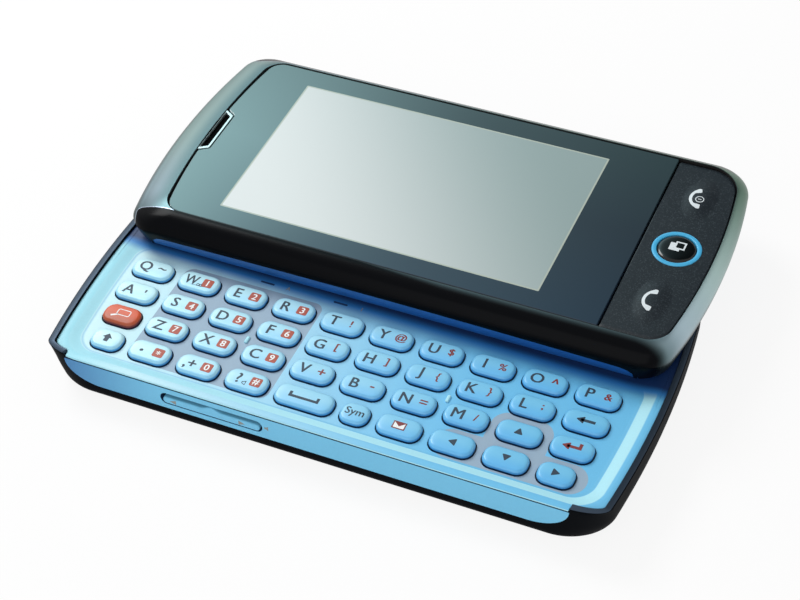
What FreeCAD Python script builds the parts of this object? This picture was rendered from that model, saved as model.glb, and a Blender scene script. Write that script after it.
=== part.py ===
import FreeCAD, Part
import math
import os

# Slider phone with a full keyboard, modelled open, in millimetres.
# The origin is the centre of the keyboard half's back face, +X runs along the length
# towards the call keys, +Y points the way the screen half slides open, and +Z is up.

# ---- whole phone -------------------------------------------------------------------
LENGTH = 106.5
WIDTH = 53.5
BASE_HEIGHT = 8.9           # keyboard half, to the top of its end lips
SCREEN_HALF_HEIGHT = 6.8
SLIDE_TRAVEL = 29.25
SLIDE_GAP = 0.2             # air between the two halves
END_BOW_RADIUS = 116.0      # both short ends bow outwards
CORNER_RADIUS = 4.0
FIT = 0.1                   # gap round a piece that is glued or screwed in place
TOUCH = 0.02                # gap between pieces that rest on each other
OVER = 1.0                  # how far a cut runs past the face that it leaves by

# ---- keyboard half -----------------------------------------------------------------
BASE_ROUND_WIDTH = 4.4      # how far the rounded underside reaches in
BASE_ROUND_HEIGHT = 3.9
BASE_BULGE = 1.1            # height of that rounding's arc over its chord
BASE_DRAFT = 0.5            # lean of the walls from their widest line to the top
LIP_WIDTH = 0.95
LIP_LENGTH = 7.15           # how far the lips run back along the long sides
COVER_THICK = 0.9
FLOOR_THICK = 0.9
HOUSING_WALL = 2.3

DECK_THICK = 0.7            # under the tray that the keys stand in
DECK_RIM_DROP = 0.5         # deck rim below the end lips
TRAY_DEPTH = 0.7
TRAY_END_BAND = 4.55        # from the tray's floor to the phone's end
TRAY_FRONT_BAND = 3.4       # and to the deck's front edge
TRAY_BACK_BAND = 3.275      # and from the back row of keys to the tray's back
TRAY_SLOPE = 2.5            # width of the slope from the floor up to the rim
TRAY_CORNER = 3.5
FRONT_WALL_FOOT = 3.5
FRONT_WALL_THICK = 1.3
FRONT_WALL_END = 5.2        # length of the rounded ends of the coloured front wall
FRONT_WALL_BULGE = 1.3
GROOVE = 0.25               # shadow line under the rim of the front wall
GROOVE_DEPTH = 0.225
GROOVE_END = 1.0            # it stops this far short of the lips

# ---- keys --------------------------------------------------------------------------
KEY_PITCH_X = 9.36
KEY_PITCH_Y = 6.05
KEY_GRID_X = -0.8           # middle of the ten columns
KEY_FRONT_ROW = 6.2         # front row's centre line behind the deck's front edge
KEY_SPACE_X = 1.61          # between keys in a row
KEY_SPACE_Y = 1.6           # between rows
KEY_CORNER = 1.85
KEY_RISE = 1.1              # key tops above the tray's floor
KEY_CROWN = 0.45            # rounding of the key's top edge
KEY_TRAVEL = 0.25
KEY_SIDE_GAP = 0.16
KEY_FLANGE = 0.45           # how far the retaining flange stands out
KEY_FLANGE_THICK = 0.4
KEY_FLANGE_GAP = 0.1
KEY_REST_GAP = 0.05         # flange to dome when the key is pressed home
COLUMNS = 10
KEY_ROWS = (                # from the screen half towards the front
    "q w e r t y u i o p",
    "a s d f g h j k l backspace",
    "function z x c v b n m up enter",
    "shift period comma question space symbol mail left down right",
)
# Keys of another width: how far the left and the right edge stand in from the standard
# key's edges, in key pitches.
EDGE_INSETS = {
    "function": (0.088, 0.0), "enter": (0.0, 0.04), "shift": (0.2, 0.0),
    "space": (0.0, -0.307), "symbol": (0.286, 0.0), "right": (0.0, 0.158),
}

# ---- electronics and battery -------------------------------------------------------
BOARD_THICK = 0.8
BOARD_INSET = 0.5           # board edge to the cavity wall
BOARD_CORNER = 2.5
MAT_THICK = 0.75
MAT_GAP = 0.05
MAT_MARGIN = 0.8            # mat edge beyond the outer keys
DOME_RISE = 0.3
DOME_FOOT_RADIUS = 1.6
DOME_TOP_RADIUS = 1.1
BATTERY_LENGTH = 52.0
BATTERY_WIDTH = 34.0
BATTERY_CORNER = 1.2
BATTERY_X = 5.0
BATTERY_GAP = 0.3           # round the battery's sides
BATTERY_TOP_GAP = 0.2
COVER_WIDTH = 42.0
COVER_START = -29.0         # near end of the battery cover
COVER_FLANGE = 0.8
COVER_FLANGE_THICK = 0.4
CAMERA_X = -41.0
CAMERA_Y = 12.0
CAMERA_BARREL_RADIUS = 3.6
CAMERA_BARREL_INSET = 0.15  # barrel's end in from the back face
CAMERA_WELL_RADIUS = 2.1    # hollow in front of the lens
CAMERA_WELL_DEPTH = 0.45
CAMERA_BODY = 8.6
CAMERA_CORNER = 0.6
SPEAKER_X = -41.0
SPEAKER_Y = -9.0
SPEAKER_RADIUS = 6.5
SPEAKER_SLOTS = 5
SPEAKER_SLOT_PITCH = 2.0
SPEAKER_SLOT_LENGTH = 8.0
SPEAKER_SLOT_WIDTH = 1.0
BOSS_RADIUS = 1.7
POST_FRONT = 2.5            # front posts in from the cavity's wall
POST_LEFT_GAP = 11.0        # posts beyond the battery's two ends
POST_RIGHT_GAP = 3.0
UPPER_CAN_HEIGHT = 1.2
UPPER_CAN_Y = 7.0           # near edge of the cans on top of the board
UPPER_CAN_DEPTH = 12.0
LEFT_CAN = (-42.0, -22.0)   # ends of the two upper cans
RIGHT_CAN = (22.0, 40.0)
LOWER_CAN_HEIGHT = 1.4
LOWER_CAN_SIZE = 12.0
LOWER_CAN_GAP = 2.2         # from the battery's end, and each side of the middle
CAN_CORNER = 0.5
CONNECTOR_DEPTH = 2.6       # of the flex ribbon's connector
CONNECTOR_HEIGHT = 0.9
CONNECTOR_MARGIN = 1.0      # connector beyond the ribbon's edges
MOTOR_X = 33.0
MOTOR_LENGTH = 9.0
MOTOR_RADIUS = 1.3
MOTOR_BACK = 7.0            # in from the far side
NECK_RADIUS = 1.2           # bosses above the board, and under the rail
DECK_BOSS_GAP = 0.3         # deck's bosses above the board
SCREW_RADIUS = 0.6
SCREW_HEAD_RADIUS = 1.1
SCREW_HEAD_THICK = 0.35
SCREW_SLOT_WIDTH = 0.24
SCREW_SLOT_DEPTH = 0.2
USB_X = 18.0
USB_WIDTH = 7.6
USB_HEIGHT = 2.4
USB_DEPTH = 5.2
USB_IN_WALL = 1.6           # how far the socket reaches into the housing's wall
USB_SKIN = 0.3
USB_TONGUE_WIDTH = 3.8
USB_TONGUE_THICK = 0.5
USB_TONGUE_SETBACK = 0.8

# ---- volume rocker in the front wall -----------------------------------------------
ROCKER_X = -18.7
ROCKER_LENGTH = 19.0
ROCKER_HEIGHT = 2.0
ROCKER_Z = 5.7
ROCKER_THICK = 0.8
ROCKER_GAP = 0.2
ROCKER_INSET = 0.12         # bar's face behind the wall's widest line
ROCKER_WAIST_RADIUS = 6.0
ROCKER_WAIST_DEPTH = 0.3
ROCKER_PIVOT_RADIUS = 0.5
ROCKER_PIVOT_INSET = 0.4    # pivot rib in from the bar's two long edges

# ---- slide mechanism ---------------------------------------------------------------
RAIL_HALF_WIDTH = 18.3      # over the webs
RAIL_SETBACK = 1.4          # near end, behind the key tray
RAIL_END_INSET = 2.25       # far end, from the long side
RAIL_PLATE = 0.6
RAIL_WEB = 1.0
WING_REACH = 2.0
WING_THICK = 0.5
RUNNING_GAP = 0.1
CHANNEL_LIP_THICK = 0.45
CHANNEL_WALL = 1.1
CARRIAGE_PLATE = 0.5
SLOT_GAP = 0.2
FLEX_WIDTH = 12.0
FLEX_THICK = 0.2
FLEX_Y = 5.0                # ribbon's way through the rail, from the rail's near end
FLEX_LIFT = 0.5             # ribbon above the rail's plate
FLEX_END = 0.2              # upper end in from the rail's far end
FLEX_SLOT_MARGIN = 0.5
FLEX_SLOT_HALF_DEPTH = 0.8
SPRING_WIRE = 0.5
SPRING_COIL_RADIUS = 2.4
SPRING_LEG_SHARE = 0.9      # legs are a little thinner than the coil's wire
SPRING_X = 12.4
SPRING_Y = 12.0             # coil's centre, from the rail's near end
SPRING_LIFT = 0.35          # spring's middle above the screen half's underside
PIN_RADIUS = 0.6
RAIL_PIN_X = 15.6           # pins that the springs hook on
RAIL_PIN_Y = 5.5            # in from the rail's near end
RAIL_PIN_TOP = 0.6          # above the screen half's underside
CARRIAGE_PIN_X = 9.4
CARRIAGE_PIN_Y = 2.0        # in from the rail's far end, at the open stop

# ---- screen half -------------------------------------------------------------------
UPPER_FOOT_INSET = 1.05     # underside edge in from the widest line
UPPER_WIDEST_RISE = 3.6     # widest line above the underside
FOOT_BULGE = 0.12           # arc heights of the sides below and above that line
FLANK_BULGE = 0.9
RIM_INSET = 3.9             # rim of the window in from the long sides
LEFT_BAND = 6.6             # sloping band at the earpiece end
RIGHT_BAND = 1.9            # the narrower band at the call key end
LEFT_SHOULDER = 1.7         # the steeper shoulder outside the left band
LEFT_SHOULDER_DROP = 1.7
LEFT_SHOULDER_BULGE = 0.3
LEFT_BAND_BULGE = 0.12
RIGHT_BAND_BULGE = 0.6
BACK_PANEL = 0.8
BACK_PANEL_INSET = 1.7
BACK_PANEL_CORNER = 3.0
LENS_INSET = 6.9            # ends of the coloured strip under each long side
LENS_RISE = 2.5             # height of its shoulders
LENS_CROWN = 0.6            # and how much more in the middle
LENS_END = 3.5              # length of its rounded ends
LENS_BULGE = 0.7
LENS_DEPTH = 1.0
MID_PLATE = 0.6
RIM_WIDTH = 0.35            # bright rim round the window, along the long sides
RIM_END_WIDTH = 0.2
WINDOW_THICK = 1.4
WINDOW_DROP = 0.1           # the window sits this far below the rim
WINDOW_CORNER = 3.2
DISPLAY_LENGTH = 66.0
DISPLAY_WIDTH = 40.6
DISPLAY_THICK = 2.5
SCREEN_X = -4.6
SCREEN_Y = -0.2
KEY_PLATE_START = 37.85
KEY_PLATE_THICK = 1.0
KEY_ROOM = 0.3              # extra depth that the plate rocks into
KEY_LEDGE = 1.2             # ledge under the plate's edges
PIVOT_RADIUS = 0.6          # round foot of the ribs that the plate rocks on
PIVOT_OVERLAP = 0.3         # ribs in from the ring's edge
PIVOT_LENGTH = 1.0
SEAM = 0.15
MENU_X = 44.4
RING_RADIUS = 4.35
RING_WIDTH = 0.85
MENU_RADIUS = 3.36
MENU_TRAVEL = 0.3
MENU_DOME = 0.45
MENU_SKIRT = 0.2            # key's skirt below the plate
MENU_STEM_RADIUS = 1.2
EARPIECE_LENGTH = 11.9
EARPIECE_WIDTH = 1.4
EARPIECE_INSET = 1.2        # its middle, in from the left band
EARPIECE_WALL = 0.35
EARPIECE_SLOT_DEPTH = 0.8
EARPIECE_NOTCH_GAP = 0.3
EARPIECE_CORNER = 0.5
NOTCH_CORNER = 0.6
CAPSULE_LENGTH = 12.8       # sounder under the earpiece bar
CAPSULE_WIDTH = 4.1
CAPSULE_OFFSET = 0.7        # its middle, in from the bar's
CAPSULE_CORNER = 0.8

# ---- sizes worked out from those above ---------------------------------------------
half_length = LENGTH / 2
half_width = WIDTH / 2
thickness = BASE_HEIGHT + SLIDE_GAP + SCREEN_HALF_HEIGHT
upper_under = BASE_HEIGHT + SLIDE_GAP
upper_widest = upper_under + UPPER_WIDEST_RISE
deck_front = -half_width + BASE_DRAFT
lip_reach = half_length - LIP_LENGTH
tray_half_length = half_length - TRAY_END_BAND
floor_top = COVER_THICK + FLOOR_THICK

# Keyboard half, from the deck down to the battery.
deck_rim_top = BASE_HEIGHT - DECK_RIM_DROP
tray_floor = deck_rim_top - TRAY_DEPTH
deck_under = tray_floor - DECK_THICK
flange_top = deck_under - KEY_FLANGE_GAP
flange_under = flange_top - KEY_FLANGE_THICK
mat_top = flange_under - KEY_TRAVEL - KEY_REST_GAP
mat_under = mat_top - MAT_THICK
board_top = mat_under - MAT_GAP
board_under = board_top - BOARD_THICK
battery_top = board_under - BATTERY_TOP_GAP
battery_end = BATTERY_LENGTH / 2 + BATTERY_GAP

# Keys.
key_width = KEY_PITCH_X - KEY_SPACE_X
key_depth = KEY_PITCH_Y - KEY_SPACE_Y
key_corner = min(KEY_CORNER, 0.45 * min(key_width, key_depth))
key_top = tray_floor + KEY_RISE
back_row_y = deck_front + KEY_FRONT_ROW + 3 * KEY_PITCH_Y
tray_back = back_row_y + key_depth / 2 + TRAY_BACK_BAND

# Slide mechanism.
rail_start = tray_back + RAIL_SETBACK
rail_end = half_width - RAIL_END_INSET
rail_seat = deck_rim_top - RAIL_PLATE + FIT
rail_plate_top = rail_seat + RAIL_PLATE
lip_top = upper_under + CHANNEL_LIP_THICK
wing_under = lip_top + RUNNING_GAP
wing_top = wing_under + WING_THICK
carriage_under = wing_top + RUNNING_GAP
carriage_top = carriage_under + CARRIAGE_PLATE
carriage_start = rail_start - SLIDE_TRAVEL
carriage_half_width = RAIL_HALF_WIDTH + WING_REACH + SLOT_GAP + CHANNEL_WALL
flex_low_y = rail_start + FLEX_Y
flex_high_y = rail_end - FLEX_END

# Screen half, from the carriage up to the window.
mid_plate_under = carriage_top + FIT
mid_plate_top = mid_plate_under + MID_PLATE
window_top = thickness - WINDOW_DROP
window_under = window_top - WINDOW_THICK
key_plate_under = window_top - KEY_PLATE_THICK
earpiece_x = LEFT_BAND - half_length + EARPIECE_INSET
capsule_x = earpiece_x + CAPSULE_OFFSET

def point(x, y, z):
    return FreeCAD.Vector(x, y, z)


def box(x0, x1, y0, y1, z0, z1):
    return Part.makeBox(x1 - x0, y1 - y0, z1 - z0, point(x0, y0, z0))


def cylinder(x, y, z0, z1, radius):
    return Part.makeCylinder(radius, z1 - z0, point(x, y, z0))


def upright_edges(shape):
    """Edges that run straight up, which are the corners of a plan outline."""
    found = []
    for edge in shape.Edges:
        ends = [vertex.Point for vertex in edge.Vertexes]
        if len(ends) == 2 and (ends[0] - ends[1]).cross(point(0, 0, 1)).Length < 1e-6:
            found.append(edge)
    return found


def rounded_box(x0, x1, y0, y1, z0, z1, radius):
    block = box(x0, x1, y0, y1, z0, z1)
    return block.makeFillet(radius, upright_edges(block))


def end_sag(x, y):
    """How far an end that bows out to x has come back in at y, beside its tip."""
    radius = END_BOW_RADIUS - half_length + abs(x)
    return radius - math.sqrt(radius ** 2 - y ** 2)


def slab(x0, x1, y0, y1, z0, z1, corner):
    """Slab with rounded corners, whose ends bow out to x0 and x1 like the phone's."""
    reach = (y1 - y0) / 2
    middle = (y0 + y1) / 2
    left = x0 + end_sag(x0, reach)
    right = x1 - end_sag(x1, reach)
    near_left, far_left = point(left, y0, z0), point(left, y1, z0)
    near_right, far_right = point(right, y0, z0), point(right, y1, z0)
    edges = [
        Part.makeLine(near_left, near_right),
        Part.Arc(near_right, point(x1, middle, z0), far_right).toShape(),
        Part.makeLine(far_right, far_left),
        Part.Arc(far_left, point(x0, middle, z0), near_left).toShape(),
    ]
    block = Part.Face(Part.Wire(edges)).extrude(point(0, 0, z1 - z0))
    return block.makeFillet(corner, upright_edges(block))


def sloped_slab(low, high, z0, z1):
    """Slab between two outlines (x0, x1, y0, y1, corner), one at z0 and one at z1."""
    wires = []
    for (x0, x1, y0, y1, corner), z in ((low, z0), (high, z1)):
        layer = slab(x0, x1, y0, y1, z, z + 1, corner)
        foot = min(layer.Faces, key=lambda face: face.CenterOfMass.z)
        wires.append(foot.OuterWire)
    return Part.makeLoft(wires, True, True)


def outline(place, start, *moves):
    """Closed face; each move is (u, v) for a line or (u, v, bulge) for an arc.

    The bulge is the arc's height over its chord, on the right of the way it runs.
    """
    edges = []
    here = start
    for move in moves + (start,):
        u, v = move[0], move[1]
        bulge = move[2] if len(move) > 2 else 0.0
        du, dv = u - here[0], v - here[1]
        if bulge:
            run = math.hypot(du, dv)
            mid_u = (u + here[0]) / 2 + bulge * dv / run
            mid_v = (v + here[1]) / 2 - bulge * du / run
            edges.append(Part.Arc(place(*here), place(mid_u, mid_v), place(u, v)).toShape())
        else:
            edges.append(Part.makeLine(place(*here), place(u, v)))
        here = (u, v)
    return Part.Face(Part.Wire(edges))


def across(u, v):
    """Section plane across the phone, drawn well off its earpiece end."""
    return point(-LENGTH, u, v)


def outward(u, v):
    """Section plane from the bow's centre line out to an end, with u the radius."""
    return point(u, 0, v)


def along(u, v):
    """Section plane along the phone, drawn well off its near side."""
    return point(u, -WIDTH, v)


def swept_across(face):
    return face.extrude(point(2 * LENGTH, 0, 0))


def swept_along(face):
    return face.extrude(point(0, 3 * WIDTH, 0))


def bowed_end(side, face):
    """Turn an end's section about the bow's centre line; side is -1 or 1."""
    disc = face.revolve(point(0, 0, 0), point(0, 0, 1), 360)
    return disc.translated(point(side * (half_length - END_BOW_RADIUS), 0, 0))


def join(shapes):
    result = shapes[0]
    for shape in shapes[1:]:
        result = result.fuse(shape)
    return result.removeSplitter()


def moved_open(shape):
    """Screen half pieces are drawn closed and shown at the open end of the slide."""
    return shape.translated(point(0, SLIDE_TRAVEL, 0))


# ---- envelopes: the outside of each half --------------------------------------------
def base_envelope():
    foot_y = half_width - BASE_ROUND_WIDTH
    top_y = half_width - BASE_DRAFT
    section = outline(across, (foot_y, 0), (half_width, BASE_ROUND_HEIGHT, BASE_BULGE),
                      (top_y, BASE_HEIGHT), (-top_y, BASE_HEIGHT),
                      (-half_width, BASE_ROUND_HEIGHT), (-foot_y, 0, BASE_BULGE))
    envelope = slab(-half_length, half_length, -half_width, half_width, 0, BASE_HEIGHT,
                    CORNER_RADIUS)
    envelope = envelope.common(swept_across(section))
    reach = END_BOW_RADIUS
    end = outline(outward, (0, 0), (reach - BASE_ROUND_WIDTH, 0),
                  (reach, BASE_ROUND_HEIGHT, BASE_BULGE),
                  (reach - BASE_DRAFT, BASE_HEIGHT), (0, BASE_HEIGHT))
    for side in (-1, 1):
        envelope = envelope.common(bowed_end(side, end))
    return envelope


def upper_envelope():
    foot_y = half_width - UPPER_FOOT_INSET
    rim_y = half_width - RIM_INSET
    section = outline(across, (foot_y, upper_under), (half_width, upper_widest, FOOT_BULGE),
                      (rim_y, thickness, FLANK_BULGE), (-rim_y, thickness),
                      (-half_width, upper_widest, FLANK_BULGE),
                      (-foot_y, upper_under, FOOT_BULGE))
    envelope = slab(-half_length, half_length, -half_width, half_width, upper_under,
                    thickness, CORNER_RADIUS)
    envelope = envelope.common(swept_across(section))
    reach = END_BOW_RADIUS
    foot = reach - UPPER_FOOT_INSET
    shoulder_z = thickness - LEFT_SHOULDER_DROP
    left = outline(outward, (0, upper_under), (foot, upper_under),
                   (reach, upper_widest, FOOT_BULGE),
                   (reach - LEFT_SHOULDER, shoulder_z, LEFT_SHOULDER_BULGE),
                   (reach - LEFT_BAND, thickness, LEFT_BAND_BULGE), (0, thickness))
    right = outline(outward, (0, upper_under), (foot, upper_under),
                    (reach, upper_widest, FOOT_BULGE),
                    (reach - RIGHT_BAND, thickness, RIGHT_BAND_BULGE), (0, thickness))
    return envelope.common(bowed_end(-1, left)).common(bowed_end(1, right))


def front_wall_block(grow):
    """The coloured wall's outline seen from the front, swept through the near wall."""
    end = lip_reach + grow
    foot = FRONT_WALL_FOOT - grow
    run = FRONT_WALL_END
    face = outline(along, (end - run, foot), (end, deck_rim_top + grow, FRONT_WALL_BULGE),
                   (-end, deck_rim_top + grow), (run - end, foot, FRONT_WALL_BULGE))
    inner = deck_front + FRONT_WALL_THICK + grow
    return swept_along(face).common(box(-LENGTH, LENGTH, -WIDTH, inner, 0, thickness))


def lens_block(grow):
    """Coloured strip under the long sides of the screen half, swept right across."""
    end = half_length - LENS_INSET + grow
    top = upper_under + LENS_RISE + grow
    return swept_along(outline(along, (end, upper_under),
                               (end - LENS_END, top, LENS_BULGE),
                               (LENS_END - end, top, LENS_CROWN),
                               (-end, upper_under, LENS_BULGE)))


# ---- keys --------------------------------------------------------------------------
def key_row_y(row):
    """Centre line of a key row, where row 0 is nearest the screen half."""
    return back_row_y - row * KEY_PITCH_Y


def key_column_x(column):
    return KEY_GRID_X + (column - (COLUMNS - 1) / 2) * KEY_PITCH_X


def key_layout():
    """Name, centre and width of every key, row by row."""
    layout = []
    for row, names in enumerate(KEY_ROWS):
        for column, name in enumerate(names.split()):
            left, right = EDGE_INSETS.get(name, (0.0, 0.0))
            x = key_column_x(column) + (left - right) / 2 * KEY_PITCH_X
            width = key_width - (left + right) * KEY_PITCH_X
            layout.append((name, x, key_row_y(row), width))
    return layout


def key_block(x, y, width, grow, z0, z1):
    half_w = width / 2 + grow
    half_d = key_depth / 2 + grow
    return rounded_box(x - half_w, x + half_w, y - half_d, y + half_d, z0, z1,
                       key_corner + grow)


def key(x, y, width):
    cap = key_block(x, y, width, 0, flange_under, key_top)
    top = [edge for edge in cap.Edges
           if min(vertex.Point.z for vertex in edge.Vertexes) > key_top - TOUCH]
    cap = cap.makeFillet(KEY_CROWN, top)
    flange = key_block(x, y, width, KEY_FLANGE, flange_under, flange_top)
    return cap.fuse(flange).removeSplitter()


# ---- keyboard half -----------------------------------------------------------------
def deck_outline(z0, z1, grow):
    inset = BASE_DRAFT + LIP_WIDTH - grow
    return slab(-half_length + inset, half_length - inset, -half_width + inset,
                half_width - inset, z0, z1, CORNER_RADIUS - LIP_WIDTH + grow)


def rail_screw_places():
    x = RAIL_HALF_WIDTH - RAIL_WEB - 2 * SCREW_HEAD_RADIUS
    near = rail_start + 2 * SCREW_HEAD_RADIUS
    far = rail_end - 2 * SCREW_HEAD_RADIUS
    return [(side * x, y) for side in (-1, 1) for y in (near, far)]


def corner_screw_places():
    x = half_length - HOUSING_WALL - 2 * BOSS_RADIUS
    y = half_width - HOUSING_WALL - BOSS_RADIUS
    return [(side * x, y) for side in (-1, 1)]


def board_post_places():
    """Plain posts under the board, two beyond each end of the battery."""
    front = -half_width + HOUSING_WALL + POST_FRONT
    left = BATTERY_X - battery_end - BOSS_RADIUS - POST_LEFT_GAP
    right = BATTERY_X + battery_end + BOSS_RADIUS + POST_RIGHT_GAP
    return [(x, y) for x in (left, right) for y in (front, 0)]


def cavity():
    """Space inside the rear housing, above its floor."""
    return slab(-half_length + HOUSING_WALL, half_length - HOUSING_WALL,
                -half_width + HOUSING_WALL, half_width - HOUSING_WALL, floor_top,
                deck_under, CORNER_RADIUS - HOUSING_WALL / 2)


def cover_space(gap):
    """Battery cover with its side flanges, open to the call key end."""
    half = COVER_WIDTH / 2 + gap
    start = COVER_START - gap
    outer = box(start, LENGTH, -half, half, -OVER, COVER_THICK)
    wide = half + COVER_FLANGE
    flange = box(start, LENGTH, -wide, wide, COVER_THICK - COVER_FLANGE_THICK - gap,
                 COVER_THICK)
    return outer.fuse(flange)


def rear_housing():
    shell = base_envelope()
    shell = shell.cut(deck_outline(deck_under, thickness, FIT))
    shell = shell.cut(box(-lip_reach, lip_reach, -WIDTH, WIDTH, deck_rim_top, thickness))
    shell = shell.cut(front_wall_block(FIT))
    shell = shell.cut(cavity())
    shell = shell.cut(cover_space(FIT))
    half_w = BATTERY_WIDTH / 2 + BATTERY_GAP
    inside = floor_top + OVER
    shell = shell.cut(box(BATTERY_X - battery_end, BATTERY_X + battery_end, -half_w, half_w,
                          0, inside))
    shell = shell.cut(cylinder(CAMERA_X, CAMERA_Y, -OVER, inside, CAMERA_BARREL_RADIUS + FIT))
    for index in range(SPEAKER_SLOTS):
        y = SPEAKER_Y + (index - (SPEAKER_SLOTS - 1) / 2) * SPEAKER_SLOT_PITCH
        half_l, half_w = SPEAKER_SLOT_LENGTH / 2, SPEAKER_SLOT_WIDTH / 2
        shell = shell.cut(rounded_box(SPEAKER_X - half_l, SPEAKER_X + half_l, y - half_w,
                                      y + half_w, -OVER, inside, 0.9 * half_w))
    half_l = USB_WIDTH / 2 + FIT
    shell = shell.cut(box(USB_X - half_l, USB_X + half_l, half_width - HOUSING_WALL - OVER,
                          WIDTH, board_under - USB_HEIGHT - FIT, board_under + FIT))
    for x, y in corner_screw_places():
        post = cylinder(x, y, floor_top - FIT, board_under, BOSS_RADIUS)
        neck = cylinder(x, y, floor_top, deck_under, NECK_RADIUS)
        hole = cylinder(x, y, inside, deck_under, SCREW_RADIUS)
        shell = shell.fuse(post).fuse(neck).cut(hole)
    for x, y in board_post_places():
        shell = shell.fuse(cylinder(x, y, floor_top - FIT, board_under, BOSS_RADIUS))
    return shell.removeSplitter()


def keypad_deck():
    plate = deck_outline(deck_under, deck_rim_top, 0)
    wall = base_envelope().common(front_wall_block(0))
    deck = plate.fuse(wall)
    front = deck_front + TRAY_FRONT_BAND
    reach = tray_half_length + TRAY_SLOPE
    floor = (-tray_half_length, tray_half_length, front, tray_back, TRAY_CORNER)
    mouth = (-reach, reach, front - TRAY_SLOPE, tray_back + FIT, TRAY_CORNER)
    deck = deck.cut(sloped_slab(floor, mouth, tray_floor, deck_rim_top))
    for x, y in rail_screw_places():
        deck = deck.fuse(cylinder(x, y, board_top + DECK_BOSS_GAP, deck_under + FIT,
                                  NECK_RADIUS))
    for name, x, y, width in key_layout():
        deck = deck.cut(key_block(x, y, width, KEY_SIDE_GAP, deck_under - OVER, thickness))
    reach = RAIL_HALF_WIDTH + FIT
    deck = deck.cut(box(-reach, reach, rail_start - FIT, rail_end + FIT, rail_seat,
                        thickness))
    deck = deck.cut(flex_slot(flex_low_y, deck_under - OVER, thickness))
    for x, y in rail_screw_places() + corner_screw_places():
        deck = deck.cut(cylinder(x, y, board_top, thickness, SCREW_RADIUS))
    for x, y in corner_screw_places():
        deck = deck.cut(cylinder(x, y, deck_rim_top - SCREW_HEAD_THICK, thickness,
                                 SCREW_HEAD_RADIUS + FIT / 2))
    deck = deck.cut(rocker_recess())
    groove_end = lip_reach - GROOVE_END
    groove_top = deck_rim_top - GROOVE
    deck = deck.cut(box(-groove_end, groove_end, -WIDTH, deck_front + GROOVE_DEPTH,
                        groove_top - GROOVE, groove_top))
    return deck.removeSplitter()


def rocker_recess():
    half = ROCKER_LENGTH / 2 + ROCKER_GAP
    tall = ROCKER_HEIGHT / 2 + ROCKER_GAP
    back = deck_front - BASE_DRAFT + FRONT_WALL_THICK
    return box(ROCKER_X - half, ROCKER_X + half, -WIDTH, back, ROCKER_Z - tall,
               ROCKER_Z + tall)


def rocker_pivot_y():
    """Hinge line of the rocker, in the round end of its rib."""
    return -half_width + FRONT_WALL_THICK - TOUCH - ROCKER_PIVOT_RADIUS


def volume_rocker():
    """Bar with a waisted middle, and a rib whose round end rocks on the recess floor."""
    half = ROCKER_LENGTH / 2
    tall = ROCKER_HEIGHT / 2
    front = -half_width + ROCKER_INSET
    bar = box(ROCKER_X - half, ROCKER_X + half, front, front + ROCKER_THICK,
              ROCKER_Z - tall, ROCKER_Z + tall)
    ends = [edge for edge in bar.Edges
            if abs(edge.Vertexes[0].Point.x - edge.Vertexes[-1].Point.x) < TOUCH
            and abs(edge.Vertexes[0].Point.z - edge.Vertexes[-1].Point.z) < TOUCH]
    bar = bar.makeFillet(0.9 * tall, ends)
    waist_y = front + ROCKER_WAIST_DEPTH - ROCKER_WAIST_RADIUS
    waist = cylinder(ROCKER_X, waist_y, 0, thickness, ROCKER_WAIST_RADIUS)
    low = ROCKER_Z - tall + ROCKER_PIVOT_INSET
    high = ROCKER_Z + tall - ROCKER_PIVOT_INSET
    rib = box(ROCKER_X - ROCKER_PIVOT_RADIUS, ROCKER_X + ROCKER_PIVOT_RADIUS,
              front + ROCKER_THICK / 2, rocker_pivot_y(), low, high)
    foot = cylinder(ROCKER_X, rocker_pivot_y(), low, high, ROCKER_PIVOT_RADIUS)
    return join([bar.cut(waist), rib.fuse(foot)])


def keypad_mat():
    """Silicone sheet with a dome under each key, on the main board."""
    left = key_column_x(0) - key_width / 2 - MAT_MARGIN
    right = key_column_x(COLUMNS - 1) + key_width / 2 + MAT_MARGIN
    near = key_row_y(3) - key_depth / 2 - MAT_MARGIN
    far = key_row_y(0) + key_depth / 2 + MAT_MARGIN
    sheet_top = mat_top - DOME_RISE
    sheet = rounded_box(left, right, near, far, mat_under, sheet_top, key_corner)
    for name, x, y, width in key_layout():
        sheet = sheet.fuse(Part.makeCone(DOME_FOOT_RADIUS, DOME_TOP_RADIUS, DOME_RISE,
                                         point(x, y, sheet_top)))
    return sheet.removeSplitter()


def shield_cans():
    """Tinned cans: two on top of the board, and two under it beyond the battery."""
    cans = []
    for x0, x1 in (LEFT_CAN, RIGHT_CAN):
        cans.append(rounded_box(x0, x1, UPPER_CAN_Y, UPPER_CAN_Y + UPPER_CAN_DEPTH,
                                board_top, board_top + UPPER_CAN_HEIGHT, CAN_CORNER))
    start = BATTERY_X + battery_end + LOWER_CAN_GAP
    for y0 in (LOWER_CAN_GAP, -LOWER_CAN_GAP - LOWER_CAN_SIZE):
        cans.append(rounded_box(start, start + LOWER_CAN_SIZE, y0, y0 + LOWER_CAN_SIZE,
                                board_under - LOWER_CAN_HEIGHT, board_under, CAN_CORNER))
    return cans


def usb_socket():
    half = USB_WIDTH / 2
    back = half_width - HOUSING_WALL + USB_IN_WALL - USB_DEPTH
    low = board_under - USB_HEIGHT
    middle = board_under - USB_HEIGHT / 2
    shell = box(USB_X - half, USB_X + half, back, back + USB_DEPTH, low, board_under)
    hollow = box(USB_X - half + USB_SKIN, USB_X + half - USB_SKIN, back + OVER, WIDTH,
                 low + USB_SKIN, board_under - USB_SKIN)
    tongue = box(USB_X - USB_TONGUE_WIDTH / 2, USB_X + USB_TONGUE_WIDTH / 2, back + OVER,
                 back + USB_DEPTH - USB_TONGUE_SETBACK, middle - USB_TONGUE_THICK / 2,
                 middle + USB_TONGUE_THICK / 2)
    return shell.cut(hollow).fuse(tongue).removeSplitter()


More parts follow.
